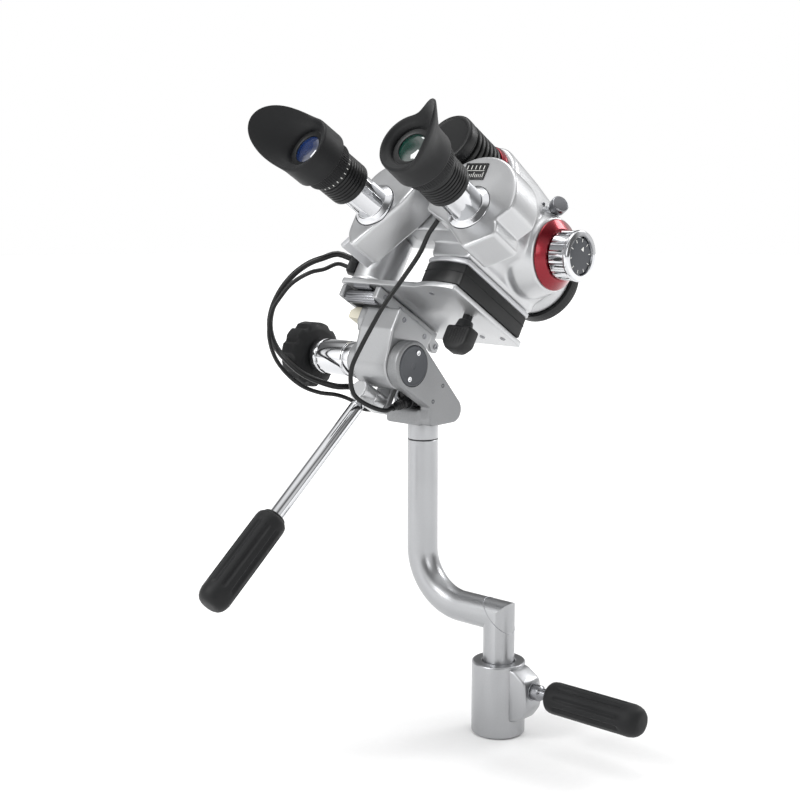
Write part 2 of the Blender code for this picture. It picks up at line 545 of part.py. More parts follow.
# ---- carriage plate, pillar and the stacked box --------------------------------------------
plate = put("base_plate", round_edges(box_bm(PLATE_X, PLATE_Y, PLATE_Z), 3 * MM, 2, along(2)),
            "satin", head)
front_bulge = [(PLATE_X[0] + 40 * MM, PLATE_Y[0] + 1 * MM)] + [
    (x * MM, PLATE_Y[0] - 3.2 * MM * (1 - ((x - 49) / 18) ** 2)) for x in (31, 37, 43, 49, 55, 61)] + [
    (PLATE_X[1] - 1.5 * MM, PLATE_Y[0] + 1 * MM)]
join(plate, slab_bm(front_bulge, PLATE_Z[0], PLATE_Z[1], "xy"))
LEVER = Vector((50.0 * MM, 3.0 * MM, 0))
cut(plate, rod_bm(3.4 * MM + HOLE_PLAY, PLATE_Z[0] - 1 * MM, PLATE_Z[1] + 1 * MM, 24), LEVER)
for x, y in ((40, -28), (58, 36), (40, 36), (-20, 36)):
    cut(plate, rod_bm(1.2 * MM, PLATE_Z[0] - 1 * MM, PLATE_Z[0] + 2.4 * MM, 12), (x * MM, y * MM, 0))
rack = put("slide_rack", box_bm((-27 * MM, -12 * MM), (PLATE_Y[0] + 2 * MM, 14 * MM),
                                (PINION_Z + PINION_R + GAP, PLATE_Z[0] - 0.05 * MM)),
           "steel", head)
PILLAR = Vector((-22.6 * MM, -20.5 * MM, 0))
PILLAR_R = 15.6 * MM
BRIDGE_Z = (86.0 * MM, 98.0 * MM)
put("support_pillar", turned_bm([
    (0.5 * MM, PLATE_Z[1] + GAP), (PILLAR_R + 0.8 * MM, PLATE_Z[1] + GAP),
    (PILLAR_R + 0.8 * MM, 48 * MM), (PILLAR_R, 49 * MM), (PILLAR_R, BRIDGE_Z[0] - GAP - 1 * MM),
    (PILLAR_R - 1 * MM, BRIDGE_Z[0] - GAP), (0.5 * MM, BRIDGE_Z[0] - GAP)], 40), "satin", head, PILLAR)


def box_line(grow=0.0):
    """Plan of the stacked box: flat sides and a bowed operator side."""
    lo, hi = BOX_X[0] - grow, BOX_X[1] + grow
    return ([(hi, PLATE_Y[0] + 1 * MM), (hi, 42 * MM + grow), (lo, 42 * MM + grow),
             (lo, PLATE_Y[0] + 1 * MM)]
            + [(lo + (hi - lo) * t, PLATE_Y[0] + 1 * MM - grow - 4.0 * MM * (1 - (2 * t - 1) ** 2))
               for t in (0.17, 0.33, 0.5, 0.67, 0.83)])


band = put("box_band", slab_bm(box_line(-0.4 * MM), BAND_Z[0], BAND_Z[1], "xy"), "black", head)
cut(band, rod_bm(6 * MM, BAND_Z[0] - 1 * MM, BAND_Z[0] + 6 * MM, 24), LEVER)
top = put("box_top", slab_bm(box_line(0.2 * MM), TOP_Z[0], TOP_Z[1], "xy"), "light", head)

# lock lever under the box
lever = frame("lever_frame", head, LEVER)
lock = put("lock_lever", slab_bm(soften([(-10.5 * MM, 33 * MM), (10.5 * MM, 33 * MM),
                                         (10.5 * MM, 21 * MM), (5 * MM, 15 * MM),
                                         (-5 * MM, 15 * MM), (-10.5 * MM, 20 * MM)], 1.6 * MM),
                                 -5.5 * MM, 5.5 * MM), "black", lever)
join(lock, turned_bm([(0.3 * MM, 32 * MM), (6.4 * MM, 32 * MM), (5.2 * MM, 38 * MM),
                      (3.4 * MM, 38.5 * MM), (3.4 * MM, 49 * MM), (0.3 * MM, 49 * MM)], 24))

# ---- head casting --------------------------------------------------------------------------
mx = MID_X
half = BOX_X[1] - mx
shell_line = soften([
    (mx - 34 * MM, 88 * MM), (mx - half, 76 * MM), (mx - half, 66 * MM), (mx + half, 66 * MM),
    (mx + half, 76 * MM), (mx + 34 * MM, 88 * MM), (mx + 34 * MM, 118 * MM),
    (mx + 22 * MM, 142 * MM), (mx + 10 * MM, 151 * MM), (mx - 10 * MM, 151 * MM),
    (mx - 22 * MM, 142 * MM), (mx - 34 * MM, 118 * MM)], 6 * MM)
BACK_Y = LAMP_Y[1] + 0.4 * MM


def body_ring(y, wide, top_z, low_z):
    """The shell outline squeezed to one station of the casting."""
    out = []
    for px, pz in shell_line:
        t = (pz - 66 * MM) / (85 * MM)
        out.append((mx + (px - mx) * wide, y, low_z + (top_z - low_z) * t))
    return out


casting = put("body_casting", rings_bm([
    body_ring(BACK_Y, 0.97, 151.5 * MM, 67.0 * MM), body_ring(BACK_Y + 3 * MM, 1.0, 153.0 * MM, 66 * MM),
    body_ring(0, 1.0, 151 * MM, 66 * MM), body_ring(24 * MM, 1.0, 148 * MM, 66 * MM),
    body_ring(40 * MM, 0.97, 142 * MM, 66 * MM), body_ring(BODY_Y[1], 0.9, 138 * MM, 68 * MM)]),
    "satin", head, smooth=50)
# flange for the two prism housings
flange = soften([(mx - 44 * MM, 94 * MM), (mx - 36 * MM, 78 * MM), (mx + 36 * MM, 78 * MM),
                 (mx + 44 * MM, 94 * MM), (mx + 40 * MM, 112 * MM), (mx + 25 * MM, 120 * MM),
                 (mx + 17 * MM, 109 * MM), (mx - 17 * MM, 109 * MM), (mx - 25 * MM, 120 * MM),
                 (mx - 40 * MM, 112 * MM)], 5 * MM)
join(casting, slab_bm(flange, BODY_Y[0], BACK_Y + 8 * MM))
# drum bosses on both cheeks and the objective barrel
join(casting, turned_bm([
    (0.5 * MM, -BOSS_HALF), (25 * MM, -BOSS_HALF), (26 * MM, -BOSS_HALF + 1 * MM), (31 * MM, -24 * MM),
    (31 * MM, 24 * MM), (26 * MM, BOSS_HALF - 1 * MM), (25 * MM, BOSS_HALF), (0.5 * MM, BOSS_HALF)], 44),
    (mx, DRUM_YZ[0], DRUM_YZ[1]), X)
join(casting, turned_bm([
    (0.5 * MM, 36 * MM), (31 * MM, 36 * MM), (29 * MM, 44 * MM), (OBJ_R + 2 * MM, OBJ_END - 10 * MM),
    (OBJ_R + 1 * MM, OBJ_END), (0.5 * MM, OBJ_END)], 44), (mx, 0, DRUM_YZ[1] - 1 * MM), Y)
join(casting, slab_bm(soften([(-38 * MM, BRIDGE_Z[0]), (mx - 20 * MM, BRIDGE_Z[0]),
                              (mx - 20 * MM, BRIDGE_Z[1]), (-38 * MM, BRIDGE_Z[1])], 3 * MM),
                      PILLAR.y - 13 * MM, PILLAR.y + 13 * MM))
# bores: drum shaft, two light channels, objective, lamp seat
MAG_SHAFT_R = 5.0 * MM
cut(casting, rod_bm(MAG_SHAFT_R + HOLE_PLAY, -60 * MM, 60 * MM, 24), (mx, *DRUM_YZ), X)
for side in (-1, 1):
    cut(casting, rod_bm(11.4 * MM, -60 * MM, -14 * MM, 28), (mx + side * CHANNEL_X, 0, CHANNEL_Z), Y)
cut(casting, rod_bm(OBJ_R - 2 * MM, OBJ_END - 12 * MM, OBJ_END + 4 * MM, 36), (mx, 0, DRUM_YZ[1] - 1 * MM), Y)
cut(casting, rod_bm(LAMP_R - 5 * MM, BACK_Y - 5 * MM, BACK_Y + 12 * MM, 28), (mx, 0, LAMP_Z), Y)
for side in (-1, 1):
    for y, z in ((-20, 84), (2, 74), (36, 126)):
        cut(casting, rod_bm(1.0 * MM, 30 * MM, 46 * MM, 10), (mx, y * MM, z * MM), (side, 0, 0))

OBJ_Z = DRUM_YZ[1] - 1 * MM
put("objective_ring", turned_bm([
    (OBJ_R + 3 * MM, OBJ_END + GAP), (OBJ_R + 3 * MM, OBJ_END + 8 * MM),
    (OBJ_R + 2 * MM, OBJ_END + 9 * MM), (OBJ_R - 4 * MM, OBJ_END + 9 * MM),
    (OBJ_R - 6.5 * MM, OBJ_END + 6 * MM), (OBJ_R - 6.5 * MM, OBJ_END - 6 * MM),
    (OBJ_R - 2.4 * MM, OBJ_END - 6 * MM), (OBJ_R - 2.4 * MM, OBJ_END + GAP)], 44), "black", head,
    (mx, 0, OBJ_Z), Y)
put("objective_lens", turned_bm([
    (0.3 * MM, OBJ_END - 3 * MM), (OBJ_R - 6.8 * MM, OBJ_END - 3 * MM),
    (OBJ_R - 6.8 * MM, OBJ_END + 2 * MM), (12 * MM, OBJ_END + 3.8 * MM), (6 * MM, OBJ_END + 4.7 * MM),
    (0.3 * MM, OBJ_END + 5 * MM)], 36), "glass", head, (mx, 0, OBJ_Z), Y)

# ---- lamp ----------------------------------------------------------------------------------
lamp_at = (mx, 0, LAMP_Z)
y0, y1 = LAMP_Y
put("lamp_ring", turned_bm([
    (LAMP_R + 1.6 * MM, y1), (LAMP_R + 1.9 * MM, y1 - 1 * MM), (LAMP_R + 0.4 * MM, y1 - 4.6 * MM),
    (LAMP_R - 8 * MM, y1 - 4.6 * MM), (LAMP_R - 8 * MM, y1)], 40), "red", head, lamp_at, Y)
fins = [(LAMP_R - 7 * MM, y1 - 4.9 * MM), (LAMP_R - 1 * MM, y1 - 4.9 * MM)]
for k in range(6):
    a = y1 - 6.4 * MM - k * 4.6 * MM
    fins += [(LAMP_R - 0.8 * MM, a), (LAMP_R, a - 0.5 * MM), (LAMP_R, a - 3.0 * MM),
             (LAMP_R - 0.8 * MM, a - 3.4 * MM)]
fins += [(LAMP_R - 0.2 * MM, y0 + 8 * MM), (LAMP_R - 0.2 * MM, y0 + 7.3 * MM),
         (LAMP_R - 7 * MM, y0 + 7.3 * MM)]
put("lamp_housing", turned_bm(fins, 40), "black", head, lamp_at, Y)
put("lamp_cap", turned_bm([
    (0.4 * MM, y0 + 0.5 * MM), (LAMP_R - 3.4 * MM, y0 + 0.5 * MM), (LAMP_R - 2.8 * MM, y0),
    (LAMP_R - 1.2 * MM, y0 + 0.2 * MM), (LAMP_R, y0 + 1.6 * MM), (LAMP_R, y0 + 7.0 * MM),
    (LAMP_R - 7.4 * MM, y0 + 7.0 * MM), (LAMP_R - 7.4 * MM, y0 + 16 * MM), (0.4 * MM, y0 + 16 * MM)],
    40), "black", head, lamp_at, Y)

# ---- magnification drum: shaft, red ring and the two hand knobs ----------------------------
drum = frame("drum_frame", head, (mx, *DRUM_YZ))
put("drum_ring", turned_bm([
    (24.4 * MM, BOSS_HALF + GAP), (24.4 * MM, BOSS_HALF + 1.4 * MM), (18 * MM, BOSS_HALF + 5.6 * MM),
    (MAG_SHAFT_R + 1 * MM, BOSS_HALF + 5.6 * MM), (MAG_SHAFT_R + 1 * MM, BOSS_HALF + GAP)], 44),
    "red", drum, (0, 0, 0), X)
KNOB_OUT = 60.0 * MM
put("drum_shaft", rod_bm(MAG_SHAFT_R, -KNOB_OUT + 6 * MM, KNOB_OUT - 6 * MM, 24), "steel", drum,
    (0, 0, 0), X)
for side, name in ((1, "drum_knob"), (-1, "drum_knob_far")):
    s = BOSS_HALF + (6.0 if side > 0 else 1.0) * MM
    e = KNOB_OUT - (0 if side > 0 else 5 * MM)
    k = put(name, fluted_bm([
        (s, 15.5 * MM, 0), (s + 0.8 * MM, 16.8 * MM, 0.8 * MM), (e - 3.4 * MM, 16.8 * MM, 0.8 * MM),
        (e - 3.2 * MM, 17.4 * MM, 0), (e - 0.8 * MM, 17.4 * MM, 0), (e, 16.4 * MM, 0)], 16, 3),
        "chrome", drum, (0, 0, 0), (side, 0, 0), 30)
    cut(k, rod_bm(MAG_SHAFT_R + 0.1 * MM, s - 1 * MM, KNOB_OUT - 5.4 * MM, 24), (0, 0, 0), (side, 0, 0))
    if side > 0:
        cut(k, rod_bm(12.6 * MM, e - 2.6 * MM, e + 1 * MM, 32, 13.6 * MM), (0, 0, 0), X)
put("drum_dial", turned_bm([
    (0.4 * MM, KNOB_OUT - 2.3 * MM), (12.2 * MM, KNOB_OUT - 2.3 * MM), (12.2 * MM, KNOB_OUT - 1.3 * MM),
    (0.4 * MM, KNOB_OUT - 0.9 * MM)], 32), "grey", drum, (0, 0, 0), X)

# ---- filter knob ---------------------------------------------------------------------------
FILTER_DIR = Vector((0.80, -0.52, 0.30)).normalized()
FILTER_AT = Vector((80.5 * MM, 12.0 * MM, 131.0 * MM))
put("filter_knob", turned_bm([
    (0.4 * MM, -4 * MM), (3.0 * MM, -4 * MM), (3.0 * MM, 3.0 * MM), (5.9 * MM, 3.6 * MM),
    (6.2 * MM, 4.2 * MM), (6.2 * MM, 9.2 * MM), (5.6 * MM, 9.8 * MM), (0.4 * MM, 9.8 * MM)], 28),
    "steel", head, FILTER_AT, FILTER_DIR)
cut(casting, rod_bm(3.0 * MM + HOLE_PLAY, -8 * MM, 8 * MM, 20), FILTER_AT, FILTER_DIR)

# ---- prism housings and eyepieces ----------------------------------------------------------
LEFT_LINE = [(-14.5, -21), (-9.5, -29), (-5.0, -30.4), (21.6, 0), (26.8, 8.7), (34.2, 22.0),
             (31, 34), (21, 39.5), (8, 37.5), (-9, 27), (-14.5, 20)]
RIGHT_FOOT = [(-14.8, -11.0), (5.6, -27.4), (8.0, -28.6), (10.6, -27.6), (27.0, -19.2),
              (28.6, -17.0), (26.4, -10.2), (25.0, -8.4)]


def eyepiece(side, tag):
    """One prism housing with its eyepiece, on the pivot that sets the eye spacing."""
    sx = -1 if side == "left" else 1
    pivot = frame(side + "_pivot", head, (mx + sx * CHANNEL_X, 0, CHANNEL_Z))
    ex, ez = sx * (EYE_X - CHANNEL_X), EYE_Z - CHANNEL_Z
    back = FACE_Y + HOUSE_D
    if side == "left":
        line = soften([(ex + p * MM, ez + q * MM) for p, q in LEFT_LINE], 3.5 * MM)
        house = put("left_prism_housing", round_edges(slab_bm(line, FACE_Y, back), 1.0 * MM, 1,
                    lambda e: max(v.co.y for v in e.verts) < FACE_Y + 1e-6), "satin", pivot)
    else:
        line = (arc(ex - 0.5 * MM, ez + 3.6 * MM, DISC_R, -6, 190, 26)
                + [(ex + p * MM, ez + q * MM) for p, q in RIGHT_FOOT])
        house = put("right_prism_housing", round_edges(slab_bm(line, FACE_Y, back), 0.8 * MM, 1,
                    lambda e: max(v.co.y for v in e.verts) < FACE_Y + 1e-6), "satin", pivot)
    join(house, rod_bm(11.0 * MM, back - 2 * MM, back + 12 * MM, 32), (0, 0, 0), Y)
    axis = Vector((sx * math.sin(TOE), -math.cos(TOE), 0))
    base = Vector((ex, FACE_Y, ez))
    cut(house, rod_bm(COLLAR_RING_R + 0.5 * MM, -3.0 * MM, 6 * MM, 36), base, axis)
    cut(house, rod_bm(EYE_TUBE_R + 0.6 * MM, -18 * MM, 1 * MM, 32), base, axis)
    put(side + "_tube", turned_bm([
        (EYE_TUBE_R, -14 * MM), (EYE_TUBE_R, -2.7 * MM), (COLLAR_RING_R, -2.7 * MM),
        (COLLAR_RING_R, 0.6 * MM), (COLLAR_RING_R - 1.0 * MM, 1.4 * MM), (EYE_TUBE_R + 0.6 * MM, 3.0 * MM),
        (EYE_TUBE_R, 3.2 * MM), (EYE_TUBE_R, 38 * MM), (EYE_TUBE_R - 1.6 * MM, 38 * MM),
        (EYE_TUBE_R - 1.6 * MM, -14 * MM)], 40), "chrome", pivot, base, axis)
    b0, b1 = BARREL_AT
    put(side + "_barrel", turned_bm([
        (EYE_TUBE_R + 0.3 * MM, b0), (BARREL_R - 1.2 * MM, b0), (BARREL_R - 0.2 * MM, b0 + 1 * MM),
        (BARREL_R, b0 + 3 * MM), (BARREL_R, b1 - 1 * MM), (BARREL_R - 1.8 * MM, b1 - 1 * MM),
        (BARREL_R - 1.8 * MM, b1 + 17 * MM), (EYE_TUBE_R + 0.9 * MM, b1 + 17 * MM),
        (EYE_TUBE_R + 0.9 * MM, b1 + 13 * MM), (EYE_TUBE_R + 0.3 * MM, b1 - 6 * MM)], 40),
        "black", pivot, base, axis)
    put(side + "_diopter", turned_bm([
        (BARREL_R - 1.5 * MM, b1 - 0.7 * MM), (DIOPTER_R - 0.5 * MM, b1 - 0.7 * MM),
        (DIOPTER_R, b1), (DIOPTER_R, b1 + 7.6 * MM), (DIOPTER_R - 0.6 * MM, b1 + 8.4 * MM),
        (BARREL_R - 1.5 * MM, b1 + 8.4 * MM)], 40), "black", pivot, base, axis)
    put(side + "_lens", turned_bm([
        (0.3 * MM, LENS_AT - 6 * MM), (EYE_TUBE_R + 0.6 * MM, LENS_AT - 6 * MM),
        (EYE_TUBE_R + 0.6 * MM, LENS_AT - 2 * MM), (8 * MM, LENS_AT - 0.4 * MM),
        (0.3 * MM, LENS_AT + 0.6 * MM)], 32), "glass", pivot, base, axis)
    return pivot, base, axis


def eyecup_bm(wing, b1):
    """Soft cup: a sleeve that flares into a rim, drawn out to a wing on one side."""
    n = 32
    cup_in, cup_out = BARREL_R - 1.5 * MM, EYECUP_R
    rim = LENS_AT + 4.0 * MM
    stations = ((b1 + 8.8 * MM, cup_in, 0.0), (b1 + 8.8 * MM, cup_out - 0.6 * MM, 0.0),
                (b1 + 10 * MM, cup_out, 0.0), (rim - 7 * MM, cup_out, 0.02), (rim - 3 * MM, cup_out, 0.12),
                (rim - 1.2 * MM, cup_out, 0.45), (rim + 0.6 * MM, cup_out, 0.98),
                (rim + 1.6 * MM, cup_out - 1.2 * MM, 1.0),
                (rim + 0.2 * MM, cup_out - 3.0 * MM, 0.5), (rim - 1.6 * MM, cup_out - 6.2 * MM, 0.08),
                (rim - 4.0 * MM, cup_in - 1.0 * MM, 0.0), (rim - 6.0 * MM, cup_in, 0.0))
    rings = []
    for i in range(n):
        a = 2 * math.pi * i / n
        off = min(abs(a - wing), 2 * math.pi - abs(a - wing))
        lift = max(0.0, math.cos(min(off * 0.95, math.pi / 2))) ** 2.5
        ring = []
        for z, r, w in stations:
            out = r + WING_OUT * w * lift
            ring.append((out * math.cos(a), out * math.sin(a), z + WING_UP * w * lift))
        rings.append(ring)
    return rings_bm(rings, closed=True)


for side in ("left", "right"):
    pivot, base, axis = eyepiece(side, side)
    spin = turn_to(axis).to_3x3().inverted() @ Vector((-1 if side == "left" else 1, 0.0, 0.25))
    put(side + "_eyecup", eyecup_bm(math.atan2(spin.y, spin.x) % (2 * math.pi), BARREL_AT[1]),
        "rubber", pivot, base, axis, 60)
    if side == "right":
        put("scale_plate", box_bm((-9 * MM, 9 * MM), (FACE_Y - 0.75 * MM, FACE_Y - 0.05 * MM),
                                  (-6 * MM, 6 * MM)),
            "black", pivot, (base.x - 6 * MM, 0, base.z + 26 * MM))
    else:
        put("left_side_cover", slab_bm(soften([
            (base.x - 14.9 * MM, base.z - 9 * MM), (base.x - 27 * MM, base.z - 25 * MM),
            (base.x - 24.5 * MM, base.z - 27.5 * MM), (base.x - 14.9 * MM, base.z - 17 * MM)], 0.8 * MM),
            FACE_Y + 10 * MM, FACE_Y + HOUSE_D + 12 * MM), "light", pivot)

# ---- cable clip on the pillar, and the three leads -----------------------------------------
CLIP_DIR = Vector((-0.86, -0.51, 0)).normalized()
CLIP_T = 6.4 * MM
clip = frame("clip_frame", head, PILLAR, (0, 0, math.atan2(CLIP_DIR.y, CLIP_DIR.x)))
block = put("cable_clip", round_edges(box_bm(
    (PILLAR_R + GAP, PILLAR_R + GAP + CLIP_T), (-4.6 * MM, 4.6 * MM), (52 * MM, 67.5 * MM)),
    1.4 * MM, 2, along(2)), "black", clip)
cut(block, rod_bm(1.5 * MM, -1 * MM, 2.2 * MM, 16), (PILLAR_R + GAP + CLIP_T, 0, 60 * MM), -X)

bpy.context.view_layer.update()
H = head.matrix_world


def at_head(x, y, z):
    return H @ Vector((x * MM, y * MM, z * MM))


def world(*points):
    return [Vector(p) * MM for p in points]


clip_face = PILLAR + CLIP_DIR * (PILLAR_R + GAP + CLIP_T + GAP)
foot_side = (-ARM_REACH - 19 * MM - GAP)
tail = yoke.matrix_world @ (PLUG_AT + PLUG_DIR * (23 * MM + GAP))
lead_at = LAMP_Z - LAMP_R - GAP
cord("lamp_lead", [at_head(50, -61, lead_at / MM)] + world(
    (-21, -35.3, 376.5), (-20.5, -39.7, 367.4), (-20, -44, 359), (-26, -46, 350), (-33, -47, 337),
    (-46, -50, 319), (-55, -58, 302), (-62, -63, 287), (-69, -67, 272), (-74, -70, 259),
    (-75.5, -69.5, 248), (-74.5, -66.5, 239), (-70, -56, 231)) + [tail + PLUG_DIR * 7 * MM, tail], LEAD_R)
cord("loop_thick", [H @ (clip_face + Z * 63.2 * MM + CLIP_DIR * d) for d in (0, 11 * MM)] + world(
    (-129, -42, 329.5), (-137, -47, 326), (-146, -54, 318), (-154, -60, 306), (-159, -64, 292),
    (-158, -67, 280), (-152, -68, 268), (-140, -68, 258), (-128, -64, 249), (-117, -57, 243.5),
    (-110.5, -48, 240), (-107, -38, 239), (-106, -26, 236), (-105, -15, 227))
    + [Vector((foot_side - d, -9 * MM, 222 * MM)) for d in (11 * MM, 0)], LOOP_THICK_R)
cord("loop_thin", [H @ (clip_face + Z * 56.4 * MM + CLIP_DIR * d) for d in (0, 7.5 * MM)] + world(
    (-124, -46, 322), (-130, -53, 320), (-142, -60, 312), (-148, -65, 303),
    (-152, -70, 293), (-152, -73, 283), (-150, -75, 273), (-143, -76, 260), (-134, -73, 249),
    (-126, -66, 240.5), (-117, -58, 236), (-111, -48, 234), (-109, -35, 229), (-111, -19, 220),
    (-106, -3, 218.6)) + [Vector((foot_side - d, 4 * MM, 218.8 * MM)) for d in (7.5 * MM, 0)], LOOP_THIN_R)
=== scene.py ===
"""Looks of the binocular examination head on its pan and tilt mount.

Lengths in the builders are millimetres; MM turns them into metres.  HEAD is the tilted frame of
the optical head: its x runs along the tilt axis, its y along the line of sight, its z upwards.
"""
import json
import math

import bmesh
import bpy
from mathutils import Matrix, Vector


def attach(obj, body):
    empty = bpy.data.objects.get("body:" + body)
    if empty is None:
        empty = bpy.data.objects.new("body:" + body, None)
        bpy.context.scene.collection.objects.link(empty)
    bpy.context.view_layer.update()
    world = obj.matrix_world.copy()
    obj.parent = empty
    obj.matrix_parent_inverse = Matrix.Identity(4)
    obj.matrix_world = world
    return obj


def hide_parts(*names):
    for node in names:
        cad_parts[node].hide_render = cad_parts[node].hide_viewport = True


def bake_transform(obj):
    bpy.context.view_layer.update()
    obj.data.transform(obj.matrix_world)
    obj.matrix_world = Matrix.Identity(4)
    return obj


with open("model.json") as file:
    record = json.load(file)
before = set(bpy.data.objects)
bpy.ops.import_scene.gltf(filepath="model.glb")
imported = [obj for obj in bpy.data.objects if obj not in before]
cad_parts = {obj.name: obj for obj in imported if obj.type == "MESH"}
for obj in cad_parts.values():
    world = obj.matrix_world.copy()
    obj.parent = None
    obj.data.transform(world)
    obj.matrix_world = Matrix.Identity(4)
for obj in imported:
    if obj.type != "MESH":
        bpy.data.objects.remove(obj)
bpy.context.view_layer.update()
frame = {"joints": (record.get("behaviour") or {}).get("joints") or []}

MM = 0.001
X, Y, Z = Vector((1, 0, 0)), Vector((0, 1, 0)), Vector((0, 0, 1))
WORLD = Matrix()
JOINT = {joint["name"]: joint for joint in frame["joints"]}


# ---- places, from the frame's joints ----
def frame_at(origin, forward):
    """A frame with x sideways, y along forward and z square to both."""
    forward = Vector(forward).normalized()
    turn = Matrix((X, forward, X.cross(forward))).transposed()
    return Matrix.Translation(origin) @ turn.to_4x4()


HEAD = frame_at(JOINT["tilt_turn"]["pos_m"], JOINT["focus_slide"]["axis"])


def in_head(place):
    """A world point as head coordinates in millimetres."""
    return HEAD.inverted() @ Vector(place) / MM


YOKE = Matrix.Translation(JOINT["pan_turn"]["pos_m"])
DRUM = in_head(JOINT["drum_turn"]["pos_m"])
TILT = YOKE.inverted() @ Vector(JOINT["tilt_turn"]["pos_m"]) / MM
KNUCKLE = in_head(JOINT["handle_swing"]["pos_m"])
MID_X = DRUM.x


def seat(base, at=(0, 0, 0), axis=None):
    """Where a piece goes: its own +Z laid along axis, at a point in millimetres of the base."""
    turn = Matrix() if axis is None else Vector(axis).to_track_quat("Z", "Y").to_matrix().to_4x4()
    return base @ Matrix.Translation(Vector(at) * MM) @ turn


def link(name, data):
    """A new object in the scene, holding a mesh, a curve, a camera or a light."""
    made = bpy.data.objects.new(name, data)
    bpy.context.scene.collection.objects.link(made)
    return made


# ---- camera ----
LENS_MM, SENSOR_MM = 65.25, 36.0
EYE_POINT = (0.6022, -0.7722, 0.391)
EYE_TILT, EYE_TURN = math.radians(81), math.radians(42)


def add_camera():
    data = bpy.data.cameras.new("camera")
    data.sensor_width, data.lens = SENSOR_MM, LENS_MM
    data.clip_start, data.clip_end = 0.01, 50
    camera = link("camera", data)
    camera.location = EYE_POINT
    camera.rotation_euler = (EYE_TILT, 0, EYE_TURN)
    bpy.context.scene.camera = camera


add_camera()


# ---- materials ----
def colour(code):
    """sRGB hex to the linear colour that a shader takes."""
    channels = [int(code[i:i + 2], 16) / 255 for i in (0, 2, 4)]
    return [c / 12.92 if c <= 0.04045 else ((c + 0.055) / 1.055) ** 2.4 for c in channels] + [1]


def add(tree, kind, sockets=(), **settings):
    """One node, with its settings, and its sockets set to values or fed by other sockets."""
    made = tree.nodes.new(kind)
    for key, value in settings.items():
        setattr(made, key, value)
    for key, value in dict(sockets).items():
        if isinstance(value, bpy.types.NodeSocket):
            tree.links.new(value, made.inputs[key])
        else:
            made.inputs[key].default_value = value
    return made


def start(name, sockets):
    """A material with its shader's constants set on the shader itself."""
    mat = bpy.data.materials.new(name)
    mat.use_nodes = True
    tree = mat.node_tree
    shader = tree.nodes["Principled BSDF"]
    for key, value in sockets.items():
        shader.inputs[key].default_value = value
    return mat, tree, shader


def grained(name, light, dark, rough, grain, height, **constants):
    """A surface with a fine grain in colour and relief, and a slow drift in its gloss."""
    mat, tree, shader = start(name, {k.replace("_", " ").title().replace("Ior", "IOR"): v for k,
        v in constants.items()})
    place = add(tree, "ShaderNodeTexCoord").outputs["Object"]
    fine = add(tree, "ShaderNodeTexNoise", {"Vector": place, "Scale": 1 / (grain * MM), "Detail": 3.0})
    slow = add(tree, "ShaderNodeTexNoise", {"Vector": place, "Scale": 1 / (26 * MM), "Detail": 4.0})
    tint = add(tree, "ShaderNodeMixRGB", {"Fac": fine.outputs["Fac"], "Color1": colour(dark),
        "Color2": colour(light)})
    tree.links.new(tint.outputs["Color"], shader.inputs["Base Color"])
    gloss = add(tree, "ShaderNodeMapRange", {"Value": slow.outputs["Fac"], "From Min": 0.3,
        "From Max": 0.7, "To Min": rough * 0.88, "To Max": rough * 1.16})
    tree.links.new(gloss.outputs["Result"], shader.inputs["Roughness"])
    relief = add(tree, "ShaderNodeBump", {"Height": fine.outputs["Fac"], "Strength": 1.0,
        "Distance": height * MM})
    tree.links.new(relief.outputs["Normal"], shader.inputs["Normal"])
    return mat


def machined(name, light, dark, rough, **constants):
    """Turned or drawn metal: faint bands half a millimetre wide along the world's height."""
    mat = grained(name, light, dark, rough, 0.5, 0.0025, **constants)
    fine = next(n for n in mat.node_tree.nodes if n.type == "TEX_NOISE")
    place = add(mat.node_tree, "ShaderNodeTexCoord").outputs["Object"]
    stretch = add(mat.node_tree, "ShaderNodeMapping", {"Vector": place, "Scale": (1, 1, 0.06)})
    mat.node_tree.links.new(stretch.outputs["Vector"], fine.inputs["Vector"])
    return mat


def coated_lens(name, deep, coating_reflection):
    """Multi-coated glass: dark in the middle, with a painted coloured reflection of the coating towards
    the rim, growing as the surface turns away from the view.
    """
    mat, tree, shader = start(name, {"Roughness": 0.03, "Coat Weight": 1.0, "Coat Roughness": 0.02,
        "Specular IOR Level": 0.9})
    facing = add(tree, "ShaderNodeLayerWeight", {"Blend": 0.35})
    drift = add(tree, "ShaderNodeTexNoise", {"Vector": add(tree, "ShaderNodeTexCoord").outputs["Object"],
        "Scale": 1 / (9 * MM)})
    spread = add(tree, "ShaderNodeMath", {0: facing.outputs["Facing"], 1: drift.outputs["Fac"]},
        operation="MULTIPLY_ADD", use_clamp=True)
    spread.inputs[2].default_value = 0.08
    # painted reflection: the base colour turns from the deep glass tone to the coating's reflection
    # colour towards the rim
    tint = add(tree, "ShaderNodeMixRGB", {"Fac": spread.outputs[0], "Color1": colour(deep),
        "Color2": colour(coating_reflection)})
    tree.links.new(tint.outputs["Color"], shader.inputs["Base Color"])
    return mat


